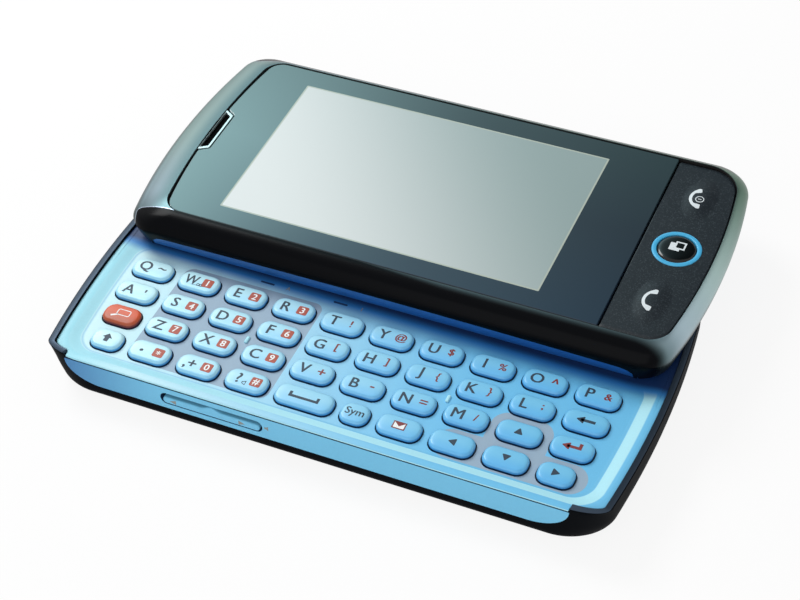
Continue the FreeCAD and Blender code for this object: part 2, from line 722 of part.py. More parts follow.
def main_board():
    """Circuit board with its cans, ribbon connector, socket, loudspeaker and motor."""
    inset = HOUSING_WALL + BOARD_INSET
    board = slab(-half_length + inset, half_length - inset, -half_width + inset,
                 half_width - inset, board_under, board_top, BOARD_CORNER)
    for x, y in corner_screw_places():
        board = board.cut(cylinder(x, y, 0, thickness, NECK_RADIUS + FIT))
    reach = FLEX_WIDTH / 2 + CONNECTOR_MARGIN
    near = flex_low_y + 2 * FLEX_THICK
    connector = box(-reach, reach, near, near + CONNECTOR_DEPTH, board_top,
                    board_top + CONNECTOR_HEIGHT)
    speaker = cylinder(SPEAKER_X, SPEAKER_Y, floor_top + FIT, board_under, SPEAKER_RADIUS)
    motor = Part.makeCylinder(MOTOR_RADIUS, MOTOR_LENGTH,
                              point(MOTOR_X, half_width - MOTOR_BACK,
                                    board_under - MOTOR_RADIUS), point(1, 0, 0))
    return Part.makeCompound([board, *shield_cans(), connector, usb_socket(), speaker,
                              motor])


def battery_pack():
    half_l, half_w = BATTERY_LENGTH / 2, BATTERY_WIDTH / 2
    return rounded_box(BATTERY_X - half_l, BATTERY_X + half_l, -half_w, half_w,
                       COVER_THICK + FIT, battery_top, BATTERY_CORNER)


def battery_cover():
    return base_envelope().common(cover_space(0)).removeSplitter()


def camera_module():
    barrel = cylinder(CAMERA_X, CAMERA_Y, CAMERA_BARREL_INSET, floor_top + OVER,
                      CAMERA_BARREL_RADIUS)
    well = cylinder(CAMERA_X, CAMERA_Y, 0, CAMERA_BARREL_INSET + CAMERA_WELL_DEPTH,
                    CAMERA_WELL_RADIUS)
    half = CAMERA_BODY / 2
    body = rounded_box(CAMERA_X - half, CAMERA_X + half, CAMERA_Y - half, CAMERA_Y + half,
                       floor_top + FIT, board_under, CAMERA_CORNER)
    return barrel.cut(well).fuse(body).removeSplitter()


def base_screws():
    screws = []
    places = [(x, y, rail_plate_top) for x, y in rail_screw_places()]
    places += [(x, y, deck_rim_top - SCREW_HEAD_THICK) for x, y in corner_screw_places()]
    for x, y, seat in places:
        shank = cylinder(x, y, board_top + DECK_BOSS_GAP + FIT, seat,
                         SCREW_RADIUS - 2 * TOUCH)
        head = cylinder(x, y, seat, seat + SCREW_HEAD_THICK, SCREW_HEAD_RADIUS)
        reach, half = 0.65 * SCREW_HEAD_RADIUS, SCREW_SLOT_WIDTH / 2
        slot = box(x - reach, x + reach, y - half, y + half,
                   seat + SCREW_HEAD_THICK - SCREW_SLOT_DEPTH, thickness)
        screws.append(join([shank, head.cut(slot)]))
    return Part.makeCompound(screws)


# ---- slide mechanism ---------------------------------------------------------------
def flex_slot(y, z0, z1):
    half = FLEX_WIDTH / 2 + FLEX_SLOT_MARGIN
    return box(-half, half, y - FLEX_SLOT_HALF_DEPTH, y + FLEX_SLOT_HALF_DEPTH, z0, z1)


def side_box(side, x0, x1, y0, y1, z0, z1):
    """Box between two distances from the middle, on the left (-1) or the right (1)."""
    return box(min(side * x0, side * x1), max(side * x0, side * x1), y0, y1, z0, z1)


def slide_rail():
    """Steel plate screwed to the deck, with a T-shaped wing along each side."""
    inner = RAIL_HALF_WIDTH - RAIL_WEB
    tip = RAIL_HALF_WIDTH + WING_REACH
    pieces = [box(-RAIL_HALF_WIDTH, RAIL_HALF_WIDTH, rail_start, rail_end, rail_seat,
                  rail_plate_top)]
    for side in (-1, 1):
        pieces += [
            side_box(side, inner, RAIL_HALF_WIDTH, rail_start, rail_end, rail_seat, wing_top),
            side_box(side, inner, tip, rail_start, rail_end, wing_under, wing_top),
            cylinder(side * RAIL_PIN_X, rail_start + RAIL_PIN_Y, rail_plate_top,
                     upper_under + RAIL_PIN_TOP, PIN_RADIUS),
        ]
    rail = join(pieces).cut(flex_slot(flex_low_y, 0, thickness))
    for x, y in rail_screw_places():
        rail = rail.cut(cylinder(x, y, 0, rail_plate_top, SCREW_RADIUS + FIT / 2))
    return rail.removeSplitter()


def slide_carriage():
    """Steel plate in the screen half, whose two channels run on the rail's wings."""
    half = carriage_half_width
    lip = RAIL_HALF_WIDTH + SLOT_GAP
    pieces = [box(-half, half, carriage_start, rail_end, carriage_under, carriage_top)]
    for side in (-1, 1):
        pieces += [
            side_box(side, half - CHANNEL_WALL, half, carriage_start, rail_end, upper_under,
                     carriage_top),
            side_box(side, lip, half, carriage_start, rail_end, upper_under, lip_top),
            cylinder(side * CARRIAGE_PIN_X, rail_end - SLIDE_TRAVEL - CARRIAGE_PIN_Y,
                     upper_under + FIT, carriage_under, PIN_RADIUS),
        ]
    slot = flex_slot(flex_high_y - SLIDE_TRAVEL, 0, thickness)
    return moved_open(join(pieces).cut(slot).removeSplitter())


def slide_springs():
    """Two torsion springs that snap the slide to either end."""
    z = upper_under + SPRING_LIFT
    reach = PIN_RADIUS + SPRING_WIRE
    leg_radius = SPRING_LEG_SHARE * SPRING_WIRE / 2
    rail_hook_y = rail_start + RAIL_PIN_Y + reach
    carriage_hook_y = rail_end - CARRIAGE_PIN_Y - reach
    springs = []
    for side in (-1, 1):
        centre = point(side * SPRING_X, rail_start + SPRING_Y, z)
        coil = Part.makeTorus(SPRING_COIL_RADIUS, SPRING_WIRE / 2, centre)
        for offset, x, y in ((SPRING_COIL_RADIUS, RAIL_PIN_X, rail_hook_y),
                             (-SPRING_COIL_RADIUS, CARRIAGE_PIN_X, carriage_hook_y)):
            root = centre + point(side * offset, 0, 0)
            leg = point(side * x, y, z) - root
            coil = coil.fuse(Part.makeCylinder(leg_radius, leg.Length, root, leg))
        springs.append(coil)
    return Part.makeCompound(springs)


def flex_cable():
    """Ribbon from the main board up through the rail and into the screen half."""
    half = FLEX_WIDTH / 2
    run_z = rail_plate_top + FLEX_LIFT
    rise = box(-half, half, flex_low_y, flex_low_y + FLEX_THICK, board_top + TOUCH, run_z)
    run = box(-half, half, flex_low_y, flex_high_y, run_z, run_z + FLEX_THICK)
    tail = box(-half, half, flex_high_y - FLEX_THICK, flex_high_y, run_z,
               mid_plate_under - TOUCH)
    return join([rise, run, tail])


# ---- screen half -------------------------------------------------------------------
def window_outline(x0, x1, z0, z1, grow):
    """The flat top inside the rim, between x0 and x1."""
    rim = half_width - RIM_INSET - RIM_WIDTH + grow
    left = LEFT_BAND - half_length + RIM_END_WIDTH - grow
    right = half_length - RIGHT_BAND - RIM_END_WIDTH + grow
    whole = slab(left, right, -rim, rim, z0, z1, WINDOW_CORNER + grow)
    return whole.common(box(x0, x1, -WIDTH, WIDTH, z0, z1))


def carriage_pocket(top):
    """Room for the slide carriage, open at the underside."""
    half = carriage_half_width + FIT
    return box(-half, half, carriage_start - FIT, rail_end + FIT, 0, top)


def display_block(grow, z0, z1):
    half_l = DISPLAY_LENGTH / 2 + grow
    half_w = DISPLAY_WIDTH / 2 + grow
    return box(SCREEN_X - half_l, SCREEN_X + half_l, SCREEN_Y - half_w, SCREEN_Y + half_w,
               z0, z1)


def capsule_block(grow, z0, z1):
    half_l = CAPSULE_LENGTH / 2 + grow
    half_w = CAPSULE_WIDTH / 2 + grow
    return rounded_box(capsule_x - half_w, capsule_x + half_w, -half_l, half_l, z0, z1,
                       CAPSULE_CORNER)


def screen_frame():
    frame = upper_envelope()
    inner = half_width - UPPER_FOOT_INSET - LENS_DEPTH - FIT
    long_sides = box(-LENGTH, LENGTH, -WIDTH, WIDTH, 0, thickness).cut(
        box(-LENGTH, LENGTH, -inner, inner, 0, thickness))
    frame = frame.cut(lens_block(FIT).common(long_sides))
    frame = frame.cut(back_panel_plate(FIT))
    frame = frame.cut(carriage_pocket(mid_plate_under))
    open_top = thickness + OVER
    frame = frame.cut(window_outline(-LENGTH, LENGTH, window_under, open_top, FIT))
    frame = frame.cut(display_block(FIT, mid_plate_top, open_top))
    frame = frame.cut(window_outline(KEY_PLATE_START, LENGTH, window_under - KEY_ROOM,
                                     open_top, FIT))
    under_keys = DISPLAY_WIDTH / 2 + FIT
    frame = frame.cut(box(KEY_PLATE_START + KEY_LEDGE, half_length - RIGHT_BAND - KEY_LEDGE,
                          -under_keys, under_keys, mid_plate_top, open_top))
    frame = frame.cut(capsule_block(FIT, mid_plate_top, open_top))
    frame = frame.cut(flex_slot(flex_high_y - SLIDE_TRAVEL, 0, mid_plate_top + OVER))
    return moved_open(frame.removeSplitter())


def back_panel_plate(grow):
    inset = BACK_PANEL_INSET - grow
    return slab(-half_length + inset, half_length - inset, -half_width + inset,
                half_width - inset, upper_under - grow, upper_under + BACK_PANEL + grow,
                BACK_PANEL_CORNER)


def screen_back_panel():
    """Coloured underside of the screen half, with a lens-shaped wall on each side."""
    inner = half_width - UPPER_FOOT_INSET - LENS_DEPTH
    walls = upper_envelope().common(lens_block(0))
    walls = walls.cut(box(-LENGTH, LENGTH, -inner, inner, 0, thickness))
    panel = back_panel_plate(0).fuse(walls)
    panel = panel.cut(carriage_pocket(upper_under + BACK_PANEL + FIT))
    return moved_open(panel.removeSplitter())


def touch_window():
    glass = window_outline(-LENGTH, KEY_PLATE_START - SEAM, window_under, window_top, 0)
    half = EARPIECE_LENGTH / 2 + EARPIECE_NOTCH_GAP
    inner = earpiece_x + EARPIECE_WIDTH / 2 + EARPIECE_NOTCH_GAP
    notch = rounded_box(-LENGTH, inner, -half, half, 0, thickness, NOTCH_CORNER)
    return moved_open(glass.cut(notch).removeSplitter())


def earpiece():
    """Bright grille bar in the window's notch, on its sounder capsule."""
    half_w, half_l = EARPIECE_WIDTH / 2, EARPIECE_LENGTH / 2
    bar = rounded_box(earpiece_x - half_w, earpiece_x + half_w, -half_l, half_l,
                      window_under, window_top, EARPIECE_CORNER)
    half_w -= EARPIECE_WALL
    half_l -= EARPIECE_WALL
    slot = rounded_box(earpiece_x - half_w, earpiece_x + half_w, -half_l, half_l,
                       window_top - EARPIECE_SLOT_DEPTH, thickness, 0.6 * half_w)
    capsule = capsule_block(0, mid_plate_top + FIT, window_under)
    return moved_open(join([bar.cut(slot), capsule]))


def display_module():
    under = mid_plate_top + FIT
    return moved_open(display_block(0, under, under + DISPLAY_THICK))


def pivot_z():
    """Hinge line of the call key plate, in the round feet of its two ribs."""
    return mid_plate_top + TOUCH + PIVOT_RADIUS


def call_key_plate():
    """Rocking plate with the two call keys, and the coloured ring set into it."""
    plate = window_outline(KEY_PLATE_START, LENGTH, key_plate_under, window_top, 0)
    plate = plate.cut(cylinder(MENU_X, 0, 0, thickness, RING_RADIUS))
    for start in (MENU_X - RING_RADIUS + PIVOT_OVERLAP - PIVOT_LENGTH,
                  MENU_X + RING_RADIUS - PIVOT_OVERLAP):
        rib = box(start, start + PIVOT_LENGTH, -PIVOT_RADIUS, PIVOT_RADIUS, pivot_z(),
                  key_plate_under)
        foot = Part.makeCylinder(PIVOT_RADIUS, PIVOT_LENGTH, point(start, 0, pivot_z()),
                                 point(1, 0, 0))
        plate = plate.fuse(rib).fuse(foot)
    ring = cylinder(MENU_X, 0, key_plate_under, window_top, RING_RADIUS)
    ring = ring.cut(cylinder(MENU_X, 0, 0, thickness, RING_RADIUS - RING_WIDTH))
    return moved_open(Part.makeCompound([plate.removeSplitter(), ring]))


def menu_key():
    """Round centre key with a domed top, over its switch."""
    skirt = key_plate_under - MENU_SKIRT
    shoulder = thickness - MENU_DOME
    stem = cylinder(MENU_X, 0, skirt, shoulder, MENU_RADIUS)
    dome_radius = (MENU_RADIUS ** 2 + MENU_DOME ** 2) / (2 * MENU_DOME)
    dome = Part.makeSphere(dome_radius, point(MENU_X, 0, thickness - dome_radius))
    dome = dome.common(cylinder(MENU_X, 0, shoulder, thickness, MENU_RADIUS))
    switch = cylinder(MENU_X, 0, mid_plate_top + MENU_TRAVEL + FIT, skirt, MENU_STEM_RADIUS)
    return moved_open(join([stem, dome, switch]))


# ---- write one file per piece --------------------------------------------------------
os.makedirs("parts", exist_ok=True)
pieces = {
    "rear_housing": rear_housing(),
    "keypad_deck": keypad_deck(),
    "keypad_mat": keypad_mat(),
    "main_board": main_board(),
    "battery_pack": battery_pack(),
    "battery_cover": battery_cover(),
    "camera_module": camera_module(),
    "volume_rocker": volume_rocker(),
    "base_screws": base_screws(),
    "slide_rail": slide_rail(),
    "slide_springs": slide_springs(),
    "flex_cable": flex_cable(),
    "slide_carriage": slide_carriage(),
    "screen_frame": screen_frame(),
    "screen_back_panel": screen_back_panel(),
    "display_module": display_module(),
    "touch_window": touch_window(),
    "earpiece": earpiece(),
    "call_key_plate": call_key_plate(),
    "menu_key": menu_key(),
}
for name, x, y, width in key_layout():
    pieces["key_" + name] = key(x, y, width)
for name, shape in pieces.items():
    shape.exportStep(os.path.join("parts", name + ".step"))
    print(name, "solids", len(shape.Solids), "valid", shape.isValid(),
          "volume", round(shape.Volume, 1))
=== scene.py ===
import logging
import math
from dataclasses import dataclass, replace
from enum import Enum

import bmesh
import bpy
import numpy as np
from mathutils import Matrix, Vector


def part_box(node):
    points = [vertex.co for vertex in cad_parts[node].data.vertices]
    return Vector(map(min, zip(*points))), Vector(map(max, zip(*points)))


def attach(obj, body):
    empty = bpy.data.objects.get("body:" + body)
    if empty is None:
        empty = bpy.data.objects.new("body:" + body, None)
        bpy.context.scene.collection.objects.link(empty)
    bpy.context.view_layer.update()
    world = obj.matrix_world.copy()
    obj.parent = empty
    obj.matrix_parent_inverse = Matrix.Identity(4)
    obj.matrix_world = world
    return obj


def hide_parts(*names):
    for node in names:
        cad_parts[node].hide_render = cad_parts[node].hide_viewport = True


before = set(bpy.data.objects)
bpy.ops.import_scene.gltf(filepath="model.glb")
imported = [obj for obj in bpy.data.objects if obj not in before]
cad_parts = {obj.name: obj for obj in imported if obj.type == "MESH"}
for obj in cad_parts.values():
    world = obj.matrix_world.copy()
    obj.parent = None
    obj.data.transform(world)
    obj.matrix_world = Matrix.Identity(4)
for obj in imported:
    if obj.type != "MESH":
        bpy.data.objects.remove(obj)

LOG = logging.getLogger("slider_phone")
MM = 0.001
KEYBOARD_HALF = "keyboard_half"
SCREEN_HALF = "screen_half"
# Prints: half their thickness, and how high their middle lies over the surface.
PRINT_HALF = 0.01
PRINT_LIFT = 0.012
Array = np.ndarray
Colour = tuple[float, float, float, float]
Pair = tuple[float, float]
Mesh, Object, Material = bpy.types.Mesh, bpy.types.Object, bpy.types.Material
Node, Tree, Socket = bpy.types.Node, bpy.types.NodeTree, bpy.types.NodeSocket


# ---- sizes taken from the frame ------------------------------------------------------
def extent(*nodes: str) -> tuple[Array, Array]:
    """Lowest and highest corner of some CAD nodes together, in millimetres.

    Args:
        nodes: names of CAD nodes.

    Returns:
        Two arrays of x, y and z.
    """
    boxes = [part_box(node) for node in nodes]
    low = np.min([np.array(box[0]) for box in boxes], axis=0)
    high = np.max([np.array(box[1]) for box in boxes], axis=0)
    return low / MM, high / MM


@dataclass(frozen=True)
class Phone:
    """Overall sizes of the phone, in millimetres."""

    half_length: float
    half_width: float
    deck_front: float
    deck_rim: float
    upper_under: float
    top: float
    open_by: float
    bow_radius: float = 116.0
    base_bow_radius: float = 175.0
    wall_behind_edge: float = 0.5

    @classmethod
    def from_frame(cls) -> "Phone":
        """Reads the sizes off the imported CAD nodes."""
        _, high = extent("rear_housing")
        deck_low, deck_high = extent("keypad_deck")
        screen_low, screen_high = extent("screen_frame")
        return cls(half_length=float(high[0]), half_width=float(high[1]),
                   deck_front=float(deck_low[1]) + cls.wall_behind_edge,
                   deck_rim=float(deck_high[2]), upper_under=float(screen_low[2]),
                   top=float(screen_high[2]),
                   open_by=float(screen_low[1] + screen_high[1]) / 2)

    def sag(self, x: Array, y: Array, base: bool = False) -> Array:
        """How far a point beside the middle line comes in, because the ends bow.

        The end's arc gives the full sag, and it fades in a straight line to the middle.

        Args:
            x: places along the phone.
            y: places across it.
            base: use the keyboard half's flatter bow.

        Returns:
            The shift towards the middle, with the sign of x.
        """
        radius = self.base_bow_radius if base else self.bow_radius
        return x / self.half_length * (radius - np.sqrt(radius ** 2 - y ** 2))

    def bowed(self, flat: Array, z: float | Array = 0.0, base: bool = False) -> Array:
        """Points in plan with their ends bowed, put at a height or at one height each."""
        x = flat[:, 0] - self.sag(flat[:, 0], flat[:, 1], base)
        return np.column_stack([x, flat[:, 1], np.broadcast_to(z, x.shape)])


# ---- meshes --------------------------------------------------------------------------
def add_object(name: str, data: bpy.types.ID) -> Object:
    """Adds an object with this data to the scene."""
    made = bpy.data.objects.new(name, data)
    bpy.context.scene.collection.objects.link(made)
    return made


def to_object(name: str, mesh: Mesh, finishes: list["Finish"], body: str,
              crease_deg: float = 32.0, flat_caps: bool = True) -> Object:
    """Adds a finished mesh as a piece that rides on a body.

    Args:
        name: the piece's name.
        mesh: its mesh, in metres in the row frame.
        finishes: finishes in the order of the mesh's material numbers.
        body: the CAD body that it moves with.
        crease_deg: edges sharper than this stay sharp.
        flat_caps: shade level faces and faces of more than four sides flat, so that big
            flat faces don't take on the curve of the rounding beside them.

    Returns:
        The new object.
    """
    level = 0.99999
    for finish in finishes:
        mesh.materials.append(finish.material())
    mesh.shade_smooth()
    mesh.set_sharp_from_angle(angle=math.radians(crease_deg))
    if flat_caps:
        for polygon in mesh.polygons:
            polygon.use_smooth = (len(polygon.vertices) < 5
                                  and abs(polygon.normal.z) < level)
    piece = add_object(name, mesh)
    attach(piece, body)
    return piece


def weld(mesh: Mesh, distance_mm: float = 0.002) -> None:
    """Merges doubled points, drops faces without area and turns all faces outwards."""
    work = bmesh.new()
    work.from_mesh(mesh)
    bmesh.ops.remove_doubles(work, verts=work.verts, dist=distance_mm * MM)
    bmesh.ops.dissolve_degenerate(work, edges=work.edges, dist=distance_mm * MM / 2)
    bmesh.ops.recalc_face_normals(work, faces=work.faces)
    work.to_mesh(mesh)
    work.free()


def loft(name: str, grid: Array | list[Array], numbers: int | list[int] = 0,
         closed: bool = True, wrap_rows: bool = False, cap_rows: bool = False,
         cap_columns: bool = False, weld_mm: float = 0.002, **values: Array
         ) -> Mesh:
    """Skin over a grid of points in millimetres, as a welded mesh in metres.

    Args:
        name: the mesh's name.
        grid: array of rows, columns and x, y, z.
        numbers: material number of the faces, or one per row of faces.
        closed: whether the last column joins the first.
        wrap_rows: whether the last row joins the first.
        cap_rows: fill the first and the last row with one face each.
        cap_columns: fill the first and the last column with one face each.
        weld_mm: points closer than this become one.
        values: one number per point, for shader attributes.

    Returns:
        The mesh, with its attributes.
    """
    grid = np.stack(grid)
    index = np.arange(grid[..., 0].size).reshape(grid.shape[:2])
    upper = np.roll(index, -1, axis=0)
    quads = np.stack([index, np.roll(index, -1, axis=1), np.roll(upper, -1, axis=1),
                      upper], axis=-1)
    quads = quads[:None if wrap_rows else -1, :None if closed else -1]
    per_row = np.broadcast_to(numbers, quads.shape[:1])
    faces = quads.reshape(-1, 4).tolist()
    codes = np.repeat(per_row, quads.shape[1]).tolist()
    for wanted, face, code in ((cap_rows, index[0, ::-1], per_row[0]),
                               (cap_rows, index[-1], per_row[-1]),
                               (cap_columns, index[:, 0], per_row[0]),
                               (cap_columns, index[::-1, -1], per_row[0])):
        if wanted:
            faces.append(face.tolist())
            codes.append(int(code))
    mesh = bpy.data.meshes.new(name)
    mesh.from_pydata((grid.reshape(-1, 3) * MM).tolist(), [], faces)
    mesh.polygons.foreach_set("material_index", codes)
    for key, value in values.items():
        mesh.attributes.new(key, "FLOAT", "POINT").data.foreach_set(
            "value", value.reshape(-1).astype(np.float32))
    weld(mesh, weld_mm)
    return mesh


@dataclass(frozen=True)
class Perimeter:
    """A rounded rectangle's outline, ready to be drawn at any size.

    Each point is a share (u, v) of the way between the corner centres, plus the corner
    radius along its outward direction (nx, ny). The outline runs counterclockwise from
    the near side's left end.
    """

    u: Array
    v: Array
    nx: Array
    ny: Array

    @classmethod
    def make(cls, shares: Array, end_count: int, arc_count: int) -> "Perimeter":
        """Builds the outline's points.

        Args:
            shares: rising shares along the long sides, from 0 to 1, both ends in.
            end_count: number of spans along each short end.
            arc_count: number of spans round each corner.
        """
        end = np.linspace(0, 1, end_count + 1)
        turn = np.linspace(0, math.pi / 2, arc_count + 1)[1:-1]
        parts = []
        for start, along, u_of, v_of in (
                (-90, shares, lambda s: s, lambda s: 0 * s),
                (0, end, lambda s: 0 * s + 1, lambda s: s),
                (90, shares, lambda s: 1 - s, lambda s: 0 * s + 1),
                (180, end, lambda s: 0 * s, lambda s: 1 - s)):
            angle = math.radians(start)
            parts.append((u_of(along), v_of(along), np.full(along.shape, angle)))
            last_u, last_v = u_of(along)[-1], v_of(along)[-1]
            parts.append((np.full(turn.shape, last_u), np.full(turn.shape, last_v),
                          angle + turn))
        u, v, angle = (np.concatenate(column) for column in zip(*parts))
        return cls(u, v, np.cos(angle), np.sin(angle))

    def draw(self, x0: Array, x1: Array, y0: Array, y1: Array, corner: Array,
             deep: Array | None = None) -> Array:
        """Points of the outline between these limits, with this corner radius.

        Each argument is a number, or an array that spreads against the outline's points.

        Args:
            x0: lowest x.
            x1: highest x.
            y0: lowest y.
            y1: highest y.
            corner: corner radius, or its reach along x where deep is given.
            deep: the corner's reach along y, for an elliptical corner.

        Returns:
            The points, as an array of x and y.
        """
        deep = corner if deep is None else deep
        x = x0 + corner + (x1 - x0 - 2 * corner) * self.u + corner * self.nx
        y = y0 + deep + (y1 - y0 - 2 * deep) * self.v + deep * self.ny
        return np.stack(np.broadcast_arrays(x, y), axis=-1)


def arc(start: Pair, end: Pair, bulge: float,
        count: int) -> Array:
    """Points of a circular arc whose height over its chord is the bulge.

    The bulge lies on the right of the way from start to end.
    """
    start, end = np.array(start, float), np.array(end, float)
    chord = end - start
    length = math.hypot(*chord)
    half_turn = 2 * math.atan2(2 * bulge, length)
    share = np.linspace(-1, 1, count)
    if abs(half_turn) < 1e-6:
        return start + (share[:, None] + 1) / 2 * chord
    radius = length / 2 / math.sin(half_turn)
    angle = half_turn * share
    forward = radius * np.sin(angle)
    side = radius * (np.cos(angle) - math.cos(half_turn))
    ahead = chord / length
    right = np.array([ahead[1], -ahead[0]])
    return (start + end) / 2 + forward[:, None] * ahead + side[:, None] * right


def filleted(corners: list[tuple[float, float, float]], spans: int = 6) -> Array:
    """Outline through corners (x, y, radius), each rounded by an arc of that radius.

    The arc touches both sides: it starts radius / tan(half the corner's angle) away.
    """
    places = np.array([(x, y) for x, y, _ in corners], float)
    pieces = []
    for here, before, after, radius in zip(places, np.roll(places, 1, axis=0),
                                           np.roll(places, -1, axis=0),
                                           [corner[2] for corner in corners]):
        to_before = (before - here) / np.linalg.norm(before - here)
        to_after = (after - here) / np.linalg.norm(after - here)
        half = math.acos(float(np.clip(to_before @ to_after, -1, 1))) / 2
        if radius <= 0 or half > math.pi / 2 - 1e-3:
            pieces.append(here[None])
            continue
        reach = radius / math.tan(half)
        middle = here + (to_before + to_after) / np.linalg.norm(to_before + to_after) \
            * radius / math.sin(half)
        first = here + to_before * reach - middle
        last = here + to_after * reach - middle
        share = np.linspace(0, 1, spans + 1)[:, None]
        turn = math.pi - 2 * half
        points = (np.sin((1 - share) * turn) * first + np.sin(share * turn) * last)
        pieces.append(middle + points / math.sin(turn))
    return np.concatenate(pieces)


def prism(name: str, outlines: list[Array], low: float, high: float) -> Mesh:
    """Closed flat plate between two heights, from an outline and its holes.

    A flat curve fills the area between its outlines and is thickened both ways, then
    becomes a mesh in metres.
    """
    curve = bpy.data.curves.new(name, "CURVE")
    curve.dimensions = "2D"
    curve.fill_mode = "BOTH"
    curve.extrude = (high - low) / 2 * MM
    for outline in outlines:
        spline = curve.splines.new("POLY")
        spline.points.add(len(outline) - 1)
        flat = np.zeros((len(outline), 4))
        flat[:, :2] = outline * MM
        flat[:, 3] = 1
        spline.points.foreach_set("co", flat.reshape(-1))
        spline.use_cyclic_u = True
    return curve_to_mesh(curve, (low + high) / 2)


def curve_to_mesh(curve: bpy.types.Curve, height: float) -> Mesh:
    """Turns a flat curve or text into a mesh, moved up to a height in millimetres."""
    holder = add_object(curve.name, curve)
    mesh = bpy.data.meshes.new_from_object(
        holder.evaluated_get(bpy.context.evaluated_depsgraph_get()))
    bpy.data.objects.remove(holder)
    mesh.transform(Matrix.Translation((0, 0, height * MM)))
    weld(mesh, 0.0005)
    return mesh


def combine(name: str, meshes: list[tuple[Mesh, int]]) -> Mesh:
    """Puts several meshes into one, and adds a number to each one's material numbers."""
    work = bmesh.new()
    for mesh, number in meshes:
        known = len(work.faces)
        work.from_mesh(mesh)
        work.faces.ensure_lookup_table()
        for face in work.faces[known:]:
            face.material_index += number
    result = bpy.data.meshes.new(name)
    work.to_mesh(result)
    work.free()
    return result


def drape(mesh: Mesh, longest_mm: float = 0.35) -> Array:
    """Cuts a flat print's long edges, so that it can follow a curved surface.

    Returns:
        Its points in millimetres, which the caller moves and writes back.
    """
    work = bmesh.new()
    work.from_mesh(mesh)
    for _ in range(5):
        bmesh.ops.triangulate(work, faces=work.faces)
        long = [edge for edge in work.edges if edge.calc_length() > longest_mm * MM]
        if not long:
            break
        bmesh.ops.subdivide_edges(work, edges=long, cuts=1)
    work.to_mesh(mesh)
    work.free()
    return points_of(mesh)


def cut_out(mesh: Mesh, *cutters: Mesh) -> Mesh:
    """The mesh without the volumes of the cutters."""
    for cutter in cutters:
        holders = [add_object(part.name, part) for part in (mesh, cutter)]
        cut = holders[0].modifiers.new("cut", "BOOLEAN")
        cut.object, cut.solver = holders[1], "EXACT"
        graph = bpy.context.evaluated_depsgraph_get()
        mesh = bpy.data.meshes.new_from_object(holders[0].evaluated_get(graph))
        for holder in holders:
            bpy.data.objects.remove(holder)
    return mesh


def mark_walls(mesh: Mesh, number: int) -> Mesh:
    """Gives a flat plate's upright walls another material number."""
    for polygon in mesh.polygons:
        if abs(polygon.normal.z) < 0.2:
            polygon.material_index = number
    return mesh


def points_of(mesh: Mesh) -> Array:
    """A mesh's points in millimetres."""
    points = np.zeros(len(mesh.vertices) * 3)
    mesh.vertices.foreach_get("co", points)
    return points.reshape(-1, 3) / MM


def put_points(mesh: Mesh, points: Array) -> Mesh:
    """Moves a mesh's points to places in millimetres, and returns the mesh."""
    mesh.vertices.foreach_set("co", (points * MM).reshape(-1))
    return mesh


def rounded(x: float, y: float, half_x: float, half_y: float, corner: float,
            spans: int = 4) -> Array:
    """Rounded rectangle round a middle, in millimetres."""
    return filleted([(x + sx * half_x, y + sy * half_y, corner)
                     for sx, sy in ((-1, -1), (1, -1), (1, 1), (-1, 1))], spans)


def spun(flat: Array, turn_deg: float) -> Array:
    """Points in plan, turned counterclockwise about the origin."""
    angle = math.radians(turn_deg)
    return flat @ np.array([[math.cos(angle), math.sin(angle)],
                            [-math.sin(angle), math.cos(angle)]])


# ---- finishes ------------------------------------------------------------------------
def linear(code: str) -> Colour:
    """Turns an sRGB hex colour into linear light: ((s + 0.055) / 1.055) ** 2.4."""
    parts = [int(code[i:i + 2], 16) / 255 for i in (1, 3, 5)]
    light = [s / 12.92 if s < 0.0405 else ((s + 0.055) / 1.055) ** 2.4 for s in parts]
    return (*light, 1.0)


def blank_tree(owner: Material | bpy.types.World) -> Tree:
    """Gives a new material or world an empty node tree, and returns the tree."""
    owner.use_nodes = True
    owner.node_tree.nodes.clear()
    return owner.node_tree


def add_node(tree: Tree, kind: str, inputs: dict | tuple = (), **settings: object
             ) -> bpy.types.NodeOutputs:
    """Adds a shader node with its settings, values and links.

    Args:
        tree: the node tree.
        kind: the node's type, without the "ShaderNode" before it.
        inputs: a value, or the output socket that feeds it, for each input, in order or
            by the input's name or number.
        settings: attributes of the node.

    Returns:
        The node's outputs.
    """
    made = tree.nodes.new("ShaderNode" + kind)
    for key, value in settings.items():
        setattr(made, key, value)
    for key, value in inputs.items() if isinstance(inputs, dict) else enumerate(inputs):
        if isinstance(value, Socket):
            tree.links.new(value, made.inputs[key])
        else:
            made.inputs[key].default_value = value
    return made.outputs


def overlay(tree: Tree, colour: Socket | Colour, *layers: tuple[Socket, Socket | Colour]
            ) -> Socket:
    """Lays tones over a colour, one after the other.

    Args:
        tree: the node tree.
        colour: the lowest colour.
        layers: each layer's share, from 0 to 1, and its tone.

    Returns:
        The socket of the colour on top.
    """
    for share, tone in layers:
        colour = add_node(tree, "Mix", {"Factor": share, 6: colour, 7: tone},
                          data_type="RGBA")[2]
    return colour


def ramp(tree: Tree, value: Socket, low: float, high: float, start: Socket | Colour,
         end: Socket | Colour) -> Socket:
    """Colour that goes smoothly from start to end as the value goes from low to high.

    Args:
        tree: the node tree.
        value: the value's socket.
        low: value at which the start's colour ends.
        high: value from which the end's colour is full.
        start: colour or socket below.
        end: colour or socket above.

    Returns:
        The colour's socket.
    """
    share = add_node(tree, "MapRange", (value, low, high),
                     interpolation_type="SMOOTHSTEP")[0]
    return overlay(tree, start, (share, end))


